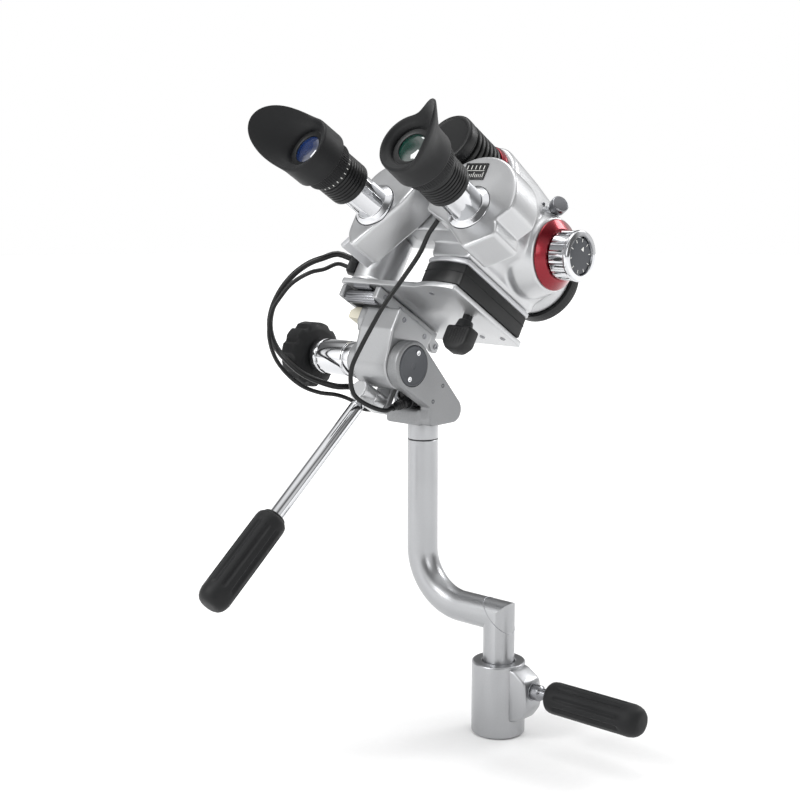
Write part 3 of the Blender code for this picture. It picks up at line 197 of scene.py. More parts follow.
FINISH = {
    # sprayed silver lacquer over a smooth casting: soft wide highlights with a faint sparkle
    "satin_silver": grained("silver_lacquer", "CBCCCD", "B7B8BA", 0.33, 0.35, 0.006, metallic=0.78,
                            coat_weight=0.25, coat_roughness=0.25),
    # shot-blasted aluminium: a visible sandy grain that scatters the light
    "cast_grey": grained("blasted_casting", "9B9C9D", "7E7F81", 0.44, 0.55, 0.03, metallic=0.85),
    # satin anodised tube: bead-blasted, even and slightly darker than the lacquer
    "tube_silver": grained("satin_anodised_tube", "B6B7B9", "9D9EA0", 0.32, 0.3, 0.008, metallic=0.95),
    # polished chrome plate: mirror-like with only a breath of haze
    "chrome": machined("polished_chrome", "D9DADC", "CDCED1", 0.08, metallic=1.0),
    # dark moulded cover with a fine spark-eroded texture
    "dark_grey": grained("textured_grey_cover", "505256", "44464A", 0.45, 0.4, 0.02, metallic=0.45),
    # matt black moulding
    "black_plastic": grained("matt_black_moulding", "131415", "0C0D0E", 0.4, 0.4, 0.012,
                             specular_ior_level=0.35),
    # soft-touch rubber: dusty, with hardly any highlight
    "rubber": grained("soft_black_rubber", "141517", "0D0E0F", 0.58, 0.6, 0.02, specular_ior_level=0.3,
                      sheen_weight=0.06, sheen_roughness=0.4),
    # dyed anodised aluminium: deep red with a hard clear surface
    "red_anodised": machined("red_anodised_ring", "8E1022", "6E0A19", 0.24, metallic=0.85,
                             coat_weight=0.5, coat_roughness=0.08),
    # plain turned steel
    "steel": machined("turned_steel", "97989B", "7D7E82", 0.26, metallic=1.0),
    # cream nylon stop
    "cream_plastic": grained("cream_nylon", "DDD8C6", "CFCAB8", 0.45, 0.8, 0.01),
    # smooth silver-grey lacquer of the tilt parts
    "grey_paint": grained("grey_lacquer", "B0B1B2", "999A9C", 0.34, 0.4, 0.008, metallic=0.7),
    # pale lacquer on the covers
    "light_paint": grained("pale_lacquer", "C4C5C7", "B6B7BA", 0.4, 0.4, 0.006, metallic=0.45),
    # smooth PVC jacket of the leads
    "cable_black": grained("pvc_jacket", "0E0F10", "090A0A", 0.34, 0.9, 0.006,
                           specular_ior_level=0.35),
}
# coated lenses: the second colour of each is the coating's painted coloured reflection
FINISH["left_glass"] = coated_lens("blue_coated_lens", "030814", "14408C")
FINISH["right_glass"] = coated_lens("green_coated_lens", "020C0A", "0E5A4A")
FINISH["glass"] = coated_lens("violet_coated_lens", "050510", "2E2560")
# white filling of engraved marks
FINISH["marks"] = grained("white_mark_filling", "E8E8E4", "DADAD6", 0.55, 0.3, 0.002)


# ---- shapes ----
def ease(points, soft, loop, steps=3):
    """Corners of an outline turned into short curves; the ends of an open one stay."""
    points = [Vector(p) for p in points]
    eased = []
    for i, corner in enumerate(points):
        if not loop and i in (0, len(points) - 1):
            eased.append(corner)
            continue
        before, after = points[i - 1], points[(i + 1) % len(points)]
        reach = min(soft, (before - corner).length * 0.45, (after - corner).length * 0.45)
        first = corner + (before - corner).normalized() * reach
        last = corner + (after - corner).normalized() * reach
        for k in range(steps + 1):
            t = k / steps
            eased.append(first * (1 - t) ** 2 + corner * 2 * t * (1 - t) + last * t * t)
    return eased


def arc(cx, cy, r, a0, a1, steps):
    """Points of an arc, between two angles in degrees."""
    angles = [math.radians(a0 + (a1 - a0) * i / steps) for i in range(steps + 1)]
    return [(cx + r * math.cos(a), cy + r * math.sin(a)) for a in angles]


def clean(bm):
    bmesh.ops.remove_doubles(bm, verts=bm.verts, dist=1e-7)
    bmesh.ops.dissolve_degenerate(bm, edges=bm.edges, dist=1e-8)
    bmesh.ops.recalc_face_normals(bm, faces=bm.faces)
    return bm


def lathe(profile, soft=0.4, steps=96, loop=False):
    """A turned piece about +Z from (radius, height) pairs; loop closes the profile into a ring."""
    bm = bmesh.new()
    verts = [bm.verts.new((p.x * MM, 0, p.y * MM)) for p in ease(profile, soft, loop)]
    edges = [bm.edges.new(pair) for pair in zip(verts, verts[1:])]
    if loop:
        edges.append(bm.edges.new((verts[-1], verts[0])))
    bmesh.ops.spin(bm, geom=verts + edges, cent=(0, 0, 0), axis=(0, 0, 1), angle=math.tau, steps=steps,
        use_merge=True)
    return clean(bm)


def bevel_sharp(bm, soft, segments=3, limit=28):
    edges = [e
        for e in bm.edges if len(e.link_faces) == 2 and e.calc_face_angle(0) > math.radians(limit)]
    bmesh.ops.bevel(bm, geom=edges, offset=soft * MM, offset_type="OFFSET", segments=segments,
        profile=0.5, affect="EDGES", clamp_overlap=True, material=-1)
    return bm


def slab(outline, lo, hi, plane="xz", soft=0.8):
    """An outline extruded square to its plane, with its rims rounded."""
    def lift(p, depth):
        spots = {"xz": (p[0], depth, p[1]), "yz": (depth, p[0], p[1]), "xy": (p[0], p[1], depth)}
        return Vector(spots[plane]) * MM
    bm = bmesh.new()
    face = bm.faces.new([bm.verts.new(lift(p, lo)) for p in outline])
    grown = bmesh.ops.extrude_face_region(bm, geom=[face])["geom"]
    bmesh.ops.translate(bm, vec=lift((0, 0), hi - lo), verts=[v for v in grown if isinstance(v,
        bmesh.types.BMVert)])
    bmesh.ops.recalc_face_normals(bm, faces=bm.faces)
    return bevel_sharp(bm, soft) if soft else bm


def block(xs, ys, zs, soft=0.8):
    bm = bmesh.new()
    bmesh.ops.create_cube(bm, size=1.0)
    bmesh.ops.scale(bm, vec=[(b - a) * MM for a, b in (xs, ys, zs)], verts=bm.verts)
    bmesh.ops.translate(bm, vec=[(a + b) / 2 * MM for a, b in (xs, ys, zs)], verts=bm.verts)
    return bevel_sharp(bm, soft) if soft else bm


def lofted(outlines):
    """Closed outlines of equal length bridged one to the next, with both ends closed."""
    bm = bmesh.new()
    loops = []
    for outline in outlines:
        verts = [bm.verts.new(Vector(p) * MM) for p in outline]
        loops.append([bm.edges.new(pair) for pair in zip(verts, verts[1:] + verts[:1])])
    for near, far in zip(loops, loops[1:]):
        bmesh.ops.bridge_loops(bm, edges=near + far)
    for end in (loops[0], loops[-1]):
        bmesh.ops.edgeloop_fill(bm, edges=end)
    return clean(bm)


def fluted(stations, lobes, per_lobe=14, power=0.8):
    """A bar along +Z with scalloped sides; stations are (height, radius, groove depth)."""
    count = lobes * per_lobe
    rings = []
    for height, radius, deep in stations:
        turns = [math.tau * i / count for i in range(count)]
        radii = [radius - deep * max(0.0, math.cos(lobes * a)) ** power for a in turns]
        rings.append([(r * math.cos(a), r * math.sin(a), height) for a, r in zip(turns, radii)])
    return lofted(rings)


def gather(shapes):
    """Several shapes as one mesh; shapes are bmeshes, or (bmesh, matrix in the same base) pairs."""
    whole = bmesh.new()
    for shape in shapes:
        bm, matrix = shape if isinstance(shape, tuple) else (shape, Matrix())
        bm.transform(matrix)
        passing = bpy.data.meshes.new("passing")
        bm.to_mesh(passing)
        bm.free()
        whole.from_mesh(passing)
        bpy.data.meshes.remove(passing)
    return whole


def scratch(name, bm):
    mesh = bpy.data.meshes.new(name)
    bm.to_mesh(mesh)
    bm.free()
    return link(name, mesh)


def baked(made):
    """The mesh of an object with its modifiers or its bevel worked in."""
    return bpy.data.meshes.new_from_object(made.evaluated_get(bpy.context.evaluated_depsgraph_get()))


def shade(mesh, finish, sharp):
    """Smooth shading up to an angle in degrees, and one finish."""
    for poly in mesh.polygons:
        poly.use_smooth = True
    mesh.set_sharp_from_angle(angle=math.radians(sharp))
    mesh.materials.clear()
    mesh.materials.append(FINISH[finish])


def worked(bm, voxel=None, relax=0, carve=None):
    """A casting: shapes skinned as one, relaxed so that each joint gets its fillet, then bored."""
    body = scratch("casting_blank", bm)
    helpers = [body]
    if voxel:
        skin = body.modifiers.new("skin", "REMESH")
        skin.mode = "VOXEL"
        skin.voxel_size = voxel * MM
        settle = body.modifiers.new("settle", "SMOOTH")
        settle.factor = 0.5
        settle.iterations = relax
    if carve:
        helpers.append(scratch("cutter", carve))
        cut = body.modifiers.new("bores", "BOOLEAN")
        cut.operation = "DIFFERENCE"
        cut.solver = "MANIFOLD"
        cut.object = helpers[-1]
    out = bmesh.new()
    out.from_mesh(baked(body))
    for helper in helpers:
        bpy.data.objects.remove(helper, do_unlink=True)
    return out


def piece(name, bm, finish, body, place=None, stands_for="", smooth=35):
    """Puts a shape in its place, gives it its finish and lets it ride on its body."""
    bm.transform(place or Matrix())
    made = scratch(name, bm)
    shade(made.data, finish, smooth)
    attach(made, body)
    if stands_for:
        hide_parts(stands_for)
    return made


def ring_of(count, radius, shape, first=0.0, sweep=360.0):
    """The same small shape repeated round +Z, each turned to its own angle."""
    shapes = []
    for i in range(count):
        angle = math.radians(first + sweep * i / (count if sweep == 360.0 else max(1, count - 1)))
        shapes.append((shape(), Matrix.Rotation(angle, 4, "Z") @ Matrix.Translation((radius * MM, 0, 0))))
    return gather(shapes)


def socket_screw(r, head):
    """Cap screw with a hexagon socket, its head standing above z 0."""
    return lathe([(0, -0.6), (r, -0.6), (r, head), (r * 0.55, head), (r * 0.55, head * 0.4), (0,
        head * 0.4)], 0.12, 40)


def screws(name, spots, axis, r, head, body, base=HEAD):
    """Steel cap screws of one size, one at each spot."""
    for i, spot in enumerate(spots):
        piece(f"{name}_{i}", socket_screw(r, head), "steel", body, seat(base, spot, axis))


def rod(r, lo, hi, at=(0, 0, 0), axis=None, steps=64, soft=0.05):
    """A plain rod with its place, for gather to fill or to bore with."""
    return lathe([(0, lo), (r, lo), (r, hi), (0, hi)], soft, steps), seat(WORLD, at, axis)


def moved(profile, out, up):
    """Profile points moved outwards and up."""
    return [(r + out, z + up) for r, z in profile]


# ---- leads: each route is a list of places chosen one by one, in world millimetres ----
def smooth_route(points, step):
    """Evenly spaced points on a smooth curve through the route's points."""
    pts = [Vector(p) for p in points]
    ext = [pts[0] * 2 - pts[1]] + pts + [pts[-1] * 2 - pts[-2]]
    fine = []
    for i in range(1, len(ext) - 2):
        p0, p1, p2, p3 = ext[i - 1:i + 3]
        d1, d2, d3 = (max((b - a).length, 1e-6) ** 0.5 for a, b in ((p0, p1), (p1, p2), (p2, p3)))
        m1 = ((p1 - p0) / d1 - (p2 - p0) / (d1 + d2) + (p2 - p1) / d2) * d2
        m2 = ((p2 - p1) / d2 - (p3 - p1) / (d2 + d3) + (p3 - p2) / d3) * d2
        for k in range(24):
            t = k / 24
            fine.append(p1 * (2 * t ** 3 - 3 * t * t + 1) + m1 * (t ** 3 - 2 * t * t + t)
                + p2 * (3 * t * t - 2 * t ** 3) + m2 * (t ** 3 - t * t))
    fine.append(pts[-1])
    reach = [0.0]
    for a, b in zip(fine, fine[1:]):
        reach.append(reach[-1] + (b - a).length)
    count = max(8, round(reach[-1] / step))
    out, j = [], 0
    for i in range(count + 1):
        s = reach[-1] * i / count
        while j < len(reach) - 2 and reach[j + 1] < s:
            j += 1
        t = (s - reach[j]) / max(reach[j + 1] - reach[j], 1e-9)
        out.append(fine[j].lerp(fine[j + 1], min(max(t, 0), 1)))
    return out


def lead(name, points, radius):
    """A round PVC lead from the tilting head down to the yoke, bending across the tilt joint."""
    route = smooth_route(points, radius * MM * 1.6)
    data = bpy.data.curves.new(name, "CURVE")
    data.dimensions = "3D"
    data.bevel_depth = radius * MM
    data.bevel_resolution = 5
    data.use_fill_caps = True
    line = data.splines.new("POLY")
    line.points.add(len(route) - 1)
    for point, place in zip(line.points, route):
        point.co = (*place, 1.0)
    passing = link("passing", data)
    made = link(name + "_jacket", baked(passing))
    bpy.data.objects.remove(passing, do_unlink=True)
    shade(made.data, "cable_black", 50)
    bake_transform(made)
    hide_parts(name)
    return made


def world_route(*points):
    return [Vector(p) * MM for p in points]


LEAD_R, THICK_R, THIN_R = 1.6, 2.2, 1.5
GAP = 0.3                             # what touching pieces keep between them
LAMP_Z, LAMP_R, LEAD_OUT_Y = 131.5, 18.2, -61
PLUG_LENGTH = 23.3
PILLAR = Vector((-22.6, -20.5, 0))
PILLAR_R, CLIP_T = 15.6, 6.4
CLIP_DIR = Vector((-0.86, -0.51, 0)).normalized()
clip_face = PILLAR + CLIP_DIR * (PILLAR_R + GAP + CLIP_T + GAP)
foot_side = YOKE.translation.x / MM - 19.3
PLUG_DIR = Vector((0.03, -0.98, -0.16)).normalized()
SOCKET = Vector((5.0, -12.5, 232.2))
PLUG = SOCKET + Vector((0, -3.4, 0))
tail = YOKE @ ((PLUG + PLUG_DIR * PLUG_LENGTH) * MM)


def all_leads():
    """The lamp's lead down to its plug, and the two loops from the pillar clip to the yoke foot."""
    under_lamp = HEAD @ (Vector((MID_X, LEAD_OUT_Y, LAMP_Z - LAMP_R - GAP)) * MM)
    lead("lamp_lead", [under_lamp] + world_route((-21, -35.3, 376.5), (-20.5, -39.7, 367.4), (-20, -44,
        359), (-26, -46, 350), (-33, -47, 337), (-46, -50, 319), (-55, -58, 302), (-62, -63, 287), (-69,
        -67, 272), (-74, -70, 259), (-75.5, -69.5, 248), (-74.5, -66.5, 239), (-70, -56, 231)) + [tail
        + PLUG_DIR * 7 * MM, tail], LEAD_R)
    lead("loop_thick", [HEAD @ ((clip_face + Z * 63.2 + CLIP_DIR * d) * MM) for d in (0, 11)]
        + world_route((-129, -42, 329.5), (-137, -47, 326), (-146, -54, 318), (-154, -60, 306), (-159,
        -64, 292), (-158, -67, 280), (-152, -68, 268), (-140, -68, 258), (-128, -64, 249), (-117, -57,
        243.5), (-110.5, -48, 240), (-107, -38, 239), (-106, -26, 236), (-105, -15, 227),
        (foot_side - 11, -9, 222), (foot_side, -9, 222)), THICK_R)
    lead("loop_thin", [HEAD @ ((clip_face + Z * 56.4 + CLIP_DIR * d) * MM) for d in (0, 7.5)]
        + world_route((-124, -46, 322), (-130, -53, 320), (-142, -60, 312), (-148, -65, 303), (-152, -70,
        293), (-152, -73, 283), (-150, -75, 273), (-143, -76, 260), (-134, -73, 249), (-126, -66, 240.5),
        (-117, -58, 236), (-111, -48, 234), (-109, -35, 229), (-111, -19, 220), (-106, -3, 218.6),
        (foot_side - 7.5, 4, 218.8), (foot_side, 4, 218.8)), THIN_R)


def lamp_plug():
    """Knurled round plug with a ribbed boot, pushed into the yoke's socket."""
    shell = lathe([(0, 0), (4.9, 0), (4.9, 2.4), (4.2, 2.8), (4.2, 4.0), (4.9, 4.4), (4.9, 6.2), (4.2,
        6.6), (4.2, 12), (3.4, 12.8), (3.4, 14), (3.8, 14.4), (3.8, 15), (3.1, 15.4), (3.1, 16), (3.6,
        16.4), (3.6, 17), (2.9, 17.4), (2.9, 18), (3.3, 18.4), (3.2, 19), (2.6, 19.6), (2.5, 23), (0,
        23)], 0.2, 64)
    knurl = ring_of(28, 4.25, lambda: block((-0.25, 0.25), (-0.2, 0.2), (7, 11.6), 0.12))
    piece("lamp_plug_moulding", gather([shell, knurl]), "black_plastic", "yoke", seat(YOKE, PLUG,
        PLUG_DIR), "lamp_plug")


lamp_plug()
all_leads()


# ---- column collar and its clamp ----
CLAMP_AT, GRIP_X = (0, 0, 36), 45


def collar():
    """Collar on the column's top, with the lug of its clamp screw."""
    ring = lathe([(18.8, 51.2), (18.8, 1), (17.8, 0), (12.5, 0), (12.5, 13), (5, 13), (5, 16), (11.3,
        16), (11.3, 51.2), (12.1, 52), (18, 52)], 0.8, 128, loop=True)
    piece("collar_ring", ring, "tube_silver", "column", None, "column_collar")
    lug = [(14, 50), (19.4, 50), (30, 43), (31, 24), (24, 14), (14, 12)]
    piece("collar_lug", slab(ease(lug, 3.5, True, 6), -9, 9, "xz", 1.6), "tube_silver", "column")
    piece("collar_lug_eye", lathe([(6.4, 30.4), (6.4, 31.2), (3.4, 31.2), (3.4, 30.4)], 0.2, 48,
        loop=True), "steel", "column", seat(WORLD, CLAMP_AT, X))


def grip_shape():
    """Fluted hand grip with a rounded nose and a plain ferrule band."""
    return fluted([(0, 7.8, 0), (0.35, 8.9, 0), (0.8, 9.4, 0), (1.9, 10.3, 0), (3, 10.7, 0), (5.5, 11,
        0), (8, 11, 0), (9, 11, 0.5), (10, 11, 1.3), (36, 11.05, 1.5), (59, 11, 1.3), (60.5, 11, 0.6),
        (61.5, 11, 0), (66, 11, 0), (69, 10.4, 0), (71.2, 9.4, 0), (72.8, 8, 0), (73.6, 6.5, 0), (74,
        4.6, 0)], 9)


def clamp():
    """Clamp screw through the collar's lug, with its hand grip."""
    thread = [(3.0 - 0.25 * (k % 2), 12.6 + 0.5 * k) for k in range(37)]
    screw = lathe([(0, 12), (2.2, 12)] + thread + [(3, 31.3), (5.5, 31.3), (5.5, 37), (4, 38.5), (4, 60),
        (0, 60)], 0.15, 64)
    piece("clamp_spindle", screw, "steel", "clamp", seat(WORLD, CLAMP_AT, X), "clamp_screw")
    piece("clamp_hand_grip", grip_shape(), "rubber", "clamp", seat(WORLD, (GRIP_X, *CLAMP_AT[1:]), X),
        "clamp_grip", 50)


def crank_arm():
    """Tube that steps the head sideways: one bend, one welded mitre."""
    reach, height, bend, top, tube_r, end_r, around = 71, 84, 38, 201.1, 11, 10.5, 80
    path = [(0, 0, 16.4), (0, 0, height)]
    path += [(-reach + bend - bend * math.sin(math.radians(3 * k)), 0, height
        + bend - bend * math.cos(math.radians(3 * k))) for k in range(31)]
    path += [(-reach, 0, top - 0.6), (-reach, 0, top)]
    spots = [Vector(p) for p in path]
    rings = []
    for i, spot in enumerate(spots):
        into = (spot - spots[i - 1]).normalized() if i else Z
        out_of = (spots[i + 1] - spot).normalized() if i < len(spots) - 1 else into
        lean = (into + out_of).normalized()
        side = Y.cross(lean) / max(into.dot(lean), 0.3)
        r = end_r if i == len(spots) - 1 else tube_r
        turns = [math.tau * k / around for k in range(around)]
        rings.append([spot + side * (r * math.cos(a)) + Y * (r * math.sin(a)) for a in turns])
    piece("crank_arm", lofted(rings), "tube_silver", "crank", None, "crank_tube", 32)
    weld = bmesh.new()
    bmesh.ops.create_circle(weld, segments=around, radius=(tube_r + 0.02) * MM)
    bmesh.ops.scale(weld, vec=(math.sqrt(2), 1, 1), verts=weld.verts)
    grown = bmesh.ops.extrude_edge_only(weld, edges=list(weld.edges))["geom"]
    bmesh.ops.translate(weld, vec=(0, 0, 0.35 * MM), verts=[g for g in grown if isinstance(g,
        bmesh.types.BMVert)])
    bmesh.ops.solidify(weld, geom=list(weld.faces), thickness=0.12 * MM)
    bmesh.ops.recalc_face_normals(weld, faces=weld.faces)
    piece("mitre_seam", weld, "steel", "crank", Matrix.Translation((0, 0,
        height * MM)) @ Matrix.Rotation(math.radians(45), 4, "Y"))
    screw = lathe([(0, 5.4), (1.6, 5.4), (1.6, 10.2), (0.9, 10.2), (0.9, 8.8), (0, 8.8)], 0.1, 32)
    piece("stop_screw", screw, "steel", "crank", seat(WORLD, (0, 0, 62), (-0.5, -1, 0)),
        "crank_stop_screw")


collar()
clamp()
crank_arm()


# ---- yoke ----
FOOT, FOOT_TOP, FOOT_Y = 213.5, 226.0, (-19.5, 16.5)
CHEEK = (13.0, 22.6)
CAP_R, BOSS_R = 14.2, 17.5
PANEL_FACE = -12.5


def yoke():
    """Cast foot with one upright cheek that carries the tilt shaft."""
    ty, tz = TILT.y, TILT.z
    line = (arc(ty, tz, BOSS_R, 42, 238, 40) + [(FOOT_Y[0] + 1.2, FOOT_TOP + 1.5)] + arc(FOOT_Y[0] + 5.6,
        FOOT + 5.4, 5, 180, 270, 8) + arc(FOOT_Y[1] - 9, FOOT + 9.4, 9, 270, 402, 16))
    foot = block((-19, CHEEK[0] + 1), (FOOT_Y[0], FOOT_Y[1] - 4), (FOOT, FOOT_TOP), 2.6)
    wedge = slab([(FOOT_Y[0] + 9, FOOT_TOP - 1), (FOOT_Y[0] + 9, 240), (FOOT_Y[1] - 18, 240),
        (FOOT_Y[1] - 5, FOOT_TOP - 1)], -18, CHEEK[0] + 1, "yz", 1.2)
    bores = gather([rod(CAP_R + 0.4, CHEEK[1] - 2.6, CHEEK[1] + 3, (0, ty, tz), X, 96), rod(7, FOOT - 3,
        FOOT + 2)])
    cast = worked(gather([slab(line, *CHEEK, "yz", 1.3), foot, wedge]), 0.7, 3, bores)
    piece("yoke_body", cast, "cast_grey", "yoke", YOKE, "yoke_casting", 42)
    for i, (dy, dz) in enumerate(((31, -17), (20.5, -27))):
        plug = lathe([(0, -2), (1.5, -2), (1.5, 0.15), (0.8, 0.15), (0.8, -0.9), (0, -0.9)], 0.1, 32)
        piece(f"cheek_dowel_{i}", plug, "dark_grey", "yoke", seat(YOKE, (CHEEK[1], ty + dy, tz + dz), X))


def tilt_cover():
    """Round cover over the shaft's end, held by two socket screws."""
    lie = CHEEK[1]
    disc = lathe([(0, lie - 2.3), (CAP_R, lie - 2.3), (CAP_R, lie - 0.1), (CAP_R - 0.5, lie + 0.4),
        (CAP_R - 1.6, lie + 0.4), (CAP_R - 1.8, lie + 0.25), (2.2, lie + 0.25), (1.9, lie + 0.05), (0,
        lie + 0.05)], 0.12, 128)
    piece("shaft_cover", disc, "dark_grey", "yoke", seat(YOKE, TILT, X), "tilt_cap")
    for sign, tag in ((1, "a"), (-1, "b")):
        at = TILT + Vector((0, 4.6, 8.6)) * sign
        piece("cover_screw_" + tag, socket_screw(1.9, 0.7), "chrome", "yoke", seat(YOKE, at + X * lie,
            X), "cap_screw_" + tag)


def pan_joint():
    stub = lathe([(0, 177.6), (6.5, 177.6), (6.5, 201.2), (10.7, 201.4), (11, 201.8), (11, 212.9), (10.7,
        213.2), (0, 213.2)], 0.25, 96)
    piece("pan_spigot", stub, "tube_silver", "yoke", YOKE, "pan_stub", 30)
    # painted shadow: a thin black ring standing in for the shade in the pan joint's gap under the
    # spigot's shoulder
    shoulder_shadow = lathe([(10.9, 201.0), (10.9, 201.5), (9, 201.5), (9, 201.0)], 0.05, 96, loop=True)
    piece("pan_joint_shadow_ring", shoulder_shadow, "black_plastic", "yoke", YOKE)


def tilt_shaft():
    shaft = lathe([(0, CHEEK[1] - 2.9), (6, CHEEK[1] - 2.9), (6, -65), (4, -65), (4, -81), (0, -81)],
        0.2, 64)
    piece("tilt_spindle", shaft, "steel", "yoke", seat(YOKE, TILT, X), "tilt_shaft")


def connector_panel():
    """Small bright panel with the lamp socket and two fixing screws."""
    panel = block((-16.5, 12.7), (PANEL_FACE, -10.8), (226.3, 239.5), 0.35)
    piece("socket_panel", panel, "steel", "yoke", YOKE, "connector_panel")
    ring = lathe([(4.6, 0.3), (4.6, 2.4), (3.4, 2.4), (3.4, 0.3)], 0.2, 64, loop=True)
    piece("lamp_socket_ring", ring, "black_plastic", "yoke", seat(YOKE, SOCKET, -Y), "lamp_socket")
    spare = lathe([(3.6, 0.1), (3.6, 1.6), (2.6, 1.6), (2.6, 0.4), (0, 0.4), (0, 0.1)], 0.15, 48)
    piece("spare_socket_ring", spare, "black_plastic", "yoke", seat(YOKE, (-8.5, PANEL_FACE, 233), -Y))
    screws("panel_screw", [(x, PANEL_FACE, 228.6) for x in (-14.4, 10.9)], -Y, 1.1, 0.5, "yoke", YOKE)


yoke()
tilt_cover()
pan_joint()
tilt_shaft()
connector_panel()


# ---- tilt block, friction sleeve and knob ----
def tilt_block():
    """Block on the tilt shaft, with the neck under the rail and the handle's lug."""
    line = arc(0, 0, BOSS_R, 205, 335, 30) + [(17.5, 10), (17.5, 32.6), (-22, 32.6), (-22, 16)]
    neck = [(-20, 32.3), (-20, 22), (-16, 16), (12, 16), (16, 22), (16, 32.3)]
    blank = gather([slab(line, -19, 12.6, "yz", 1.2), slab(neck, -26, -18, "yz", 1.0), block((-17.5,
        -2.5), (15.2, 21), (-31, 4), 1.2), rod(13.6, -28, -18, (0, 0, 0), X, 96, 0.6)])
    piece("tilt_body", worked(blank, 0.65, 3), "grey_paint", "tilt", HEAD, "tilt_block", 42)
    screws("tilt_body_screw", [(12.6, y, 27) for y in (-15, 10)], X, 2.0, 0.3, "tilt")


def friction_parts():
    """Bright sleeve round the tilt shaft and the lobed knob that sets its drag."""
    sleeve = lathe([(6.3, -67), (11.8, -67), (12.6, -66), (12.6, -61), (12.2, -60.6), (12.2, -59.8),
        (12.6, -59.4), (12.6, -36), (11.9, -35.4), (11.9, -34.2), (12.6, -33.6), (12.6, -28.3), (6.3,
        -28.3)], 0.3, 128, loop=True)
    piece("bright_sleeve", sleeve, "chrome", "tilt", seat(HEAD, (0, 0, 0), X), "friction_sleeve")
    knob_place = seat(HEAD, (-69, 0, 0), -X)
    rim = [(0, 17.5, 0), (0.5, 19, 0), (1.2, 20.6, 0.2), (2.2, 22.6, 1.0), (3.0, 23.4, 1.8), (4.2, 23.6,
        2.4), (8.8, 23.6, 2.6), (13.6, 23.6, 2.4), (15, 23.1, 1.9), (16, 22, 1.2), (16.6, 20.4, 0.4),
        (17, 18, 0)]
    piece("lobed_knob", fluted(rim, 11, 16, 1.0), "rubber", "friction", knob_place, "friction_knob", 50)
    hub = lathe([(8.6, -0.2), (8.6, -1.2), (4.2, -1.2), (4.2, -0.2)], 0.2, 64, loop=True)
    piece("knob_washer", hub, "steel", "friction", knob_place)
    face = lathe([(12, 16.8), (12, 17.25), (0, 17.4)], 0.2, 64)
    piece("knob_face_disc", face, "black_plastic", "friction", knob_place)


def pan_handle():
    """Knuckle, bright rod and hand grip."""
    slope, grip_at = math.radians(39.2), 114
    along = (HEAD.to_3x3().inverted() @ Vector((0, -math.cos(slope), -math.sin(slope)))).normalized()
    grip_place = seat(HEAD, KNUCKLE + along * grip_at, along)
    knuckle = lathe([(0, -9), (5.6, -9), (6.4, -9), (7.4, -8), (7.4, 2), (7.1, 2.4), (7.1, 3.2), (7.4,
        3.6), (7.4, 14), (6.5, 14.9), (3, 14.9), (3, 21.6), (0, 21.6)], 0.5, 96)
    piece("handle_swivel", knuckle, "satin_silver", "handle", seat(HEAD, KNUCKLE, Y), "handle_knuckle")
    bar = lathe([(0, 6.2), (4.2, 6.2), (4.6, 7.6), (4.6, 9.4), (4.3, 10.4), (5, 12.6), (5, 132), (0,
        132)], 0.3, 64)
    piece("handle_bar", bar, "chrome", "handle", seat(HEAD, KNUCKLE, along), "handle_rod")
    piece("handle_hand_grip", grip_shape(), "rubber", "handle", grip_place, "handle_grip", 50)
    collar_ring = lathe([(5.1, -1.6), (7.6, -1.6), (8.1, -0.9), (8.1, 0.2), (5.1, 0.2)], 0.2, 64,
        loop=True)
    piece("grip_ferrule", collar_ring, "black_plastic", "handle", grip_place)


tilt_block()
friction_parts()
pan_handle()


# ---- focusing slide under the head ----
TOOTH_TIP_R, TEETH, RACK_LENGTH = 4.6, 12, 48.0
PLATE_LO, PLATE_HI = 42.3, 46


def slide():
    """Grey channel with its rack, pinion and stop."""
    outer = block((-38, -1.5), (-34, 37), (33, 42), 0.7)
    ear = slab(ease([(33, 38), (43.5, 36), (43.5, 28.5), (37, 27.5), (30, 33.5)], 2.2, True, 5), -5.5,
        -1.5, "yz", 0.7)
    hollow = gather([block((-34, -5.5), ys, (low, 45), 0.3) for ys, low in (((-11, 40), 35.4), ((-40,
        -11.5), 30), ((-12, -9), 35.4))])
    piece("slide_channel", worked(gather([outer, ear]), 0.6, 2, hollow), "grey_paint", "tilt", HEAD,
        "rail_channel", 42)
    screws("channel_screw", [(-1.5, y, z) for y, z in ((-26, 37.5), (-8, 37.5), (12, 37.5), (39.5,
        32.5))], X, 1.9, 0.6, "tilt")
    teeth = fluted([(-36.2, 2.0, 0), (-33.7, 2.0, 0), (-33.69, 4.0, 0), (-32.8, TOOTH_TIP_R, 0.7), (-6.7,
        TOOTH_TIP_R, 0.7), (-5.81, 4.0, 0), (-5.8, 2.0, 0), (-3.3, 2.0, 0)], TEETH, 8, 1.0)
    piece("pinion_shaft", teeth, "steel", "pinion", seat(HEAD, (0, -28.2, 35.6), X), "slide_pinion", 50)
    line = [(14, 42.25), (-34.5, 42.25), (-34.5, 40.9)]
    pitch = math.tau * TOOTH_TIP_R / TEETH
    for k in range(int(RACK_LENGTH / pitch)):
        y = -34.2 + k * pitch
        line += [(y, 41.1), (y + pitch * 0.3, 40.55), (y + pitch * 0.6, 40.55), (y + pitch * 0.9, 41.1)]
    line += [(14, 41.1)]
    piece("toothed_rack", slab(line, -27, -12, "yz", 0), "steel", "carriage", HEAD, "slide_rack", 20)
    stop = slab(ease([(-37.5, 24), (-27, 24), (-27, 32.7), (-33, 32.7), (-37.5, 29.7)], 1.2, True, 5),
        -18, -6, "xz", 0.7)
    piece("nylon_stop", stop, "cream_plastic", "tilt", HEAD, "stop_block", 40)


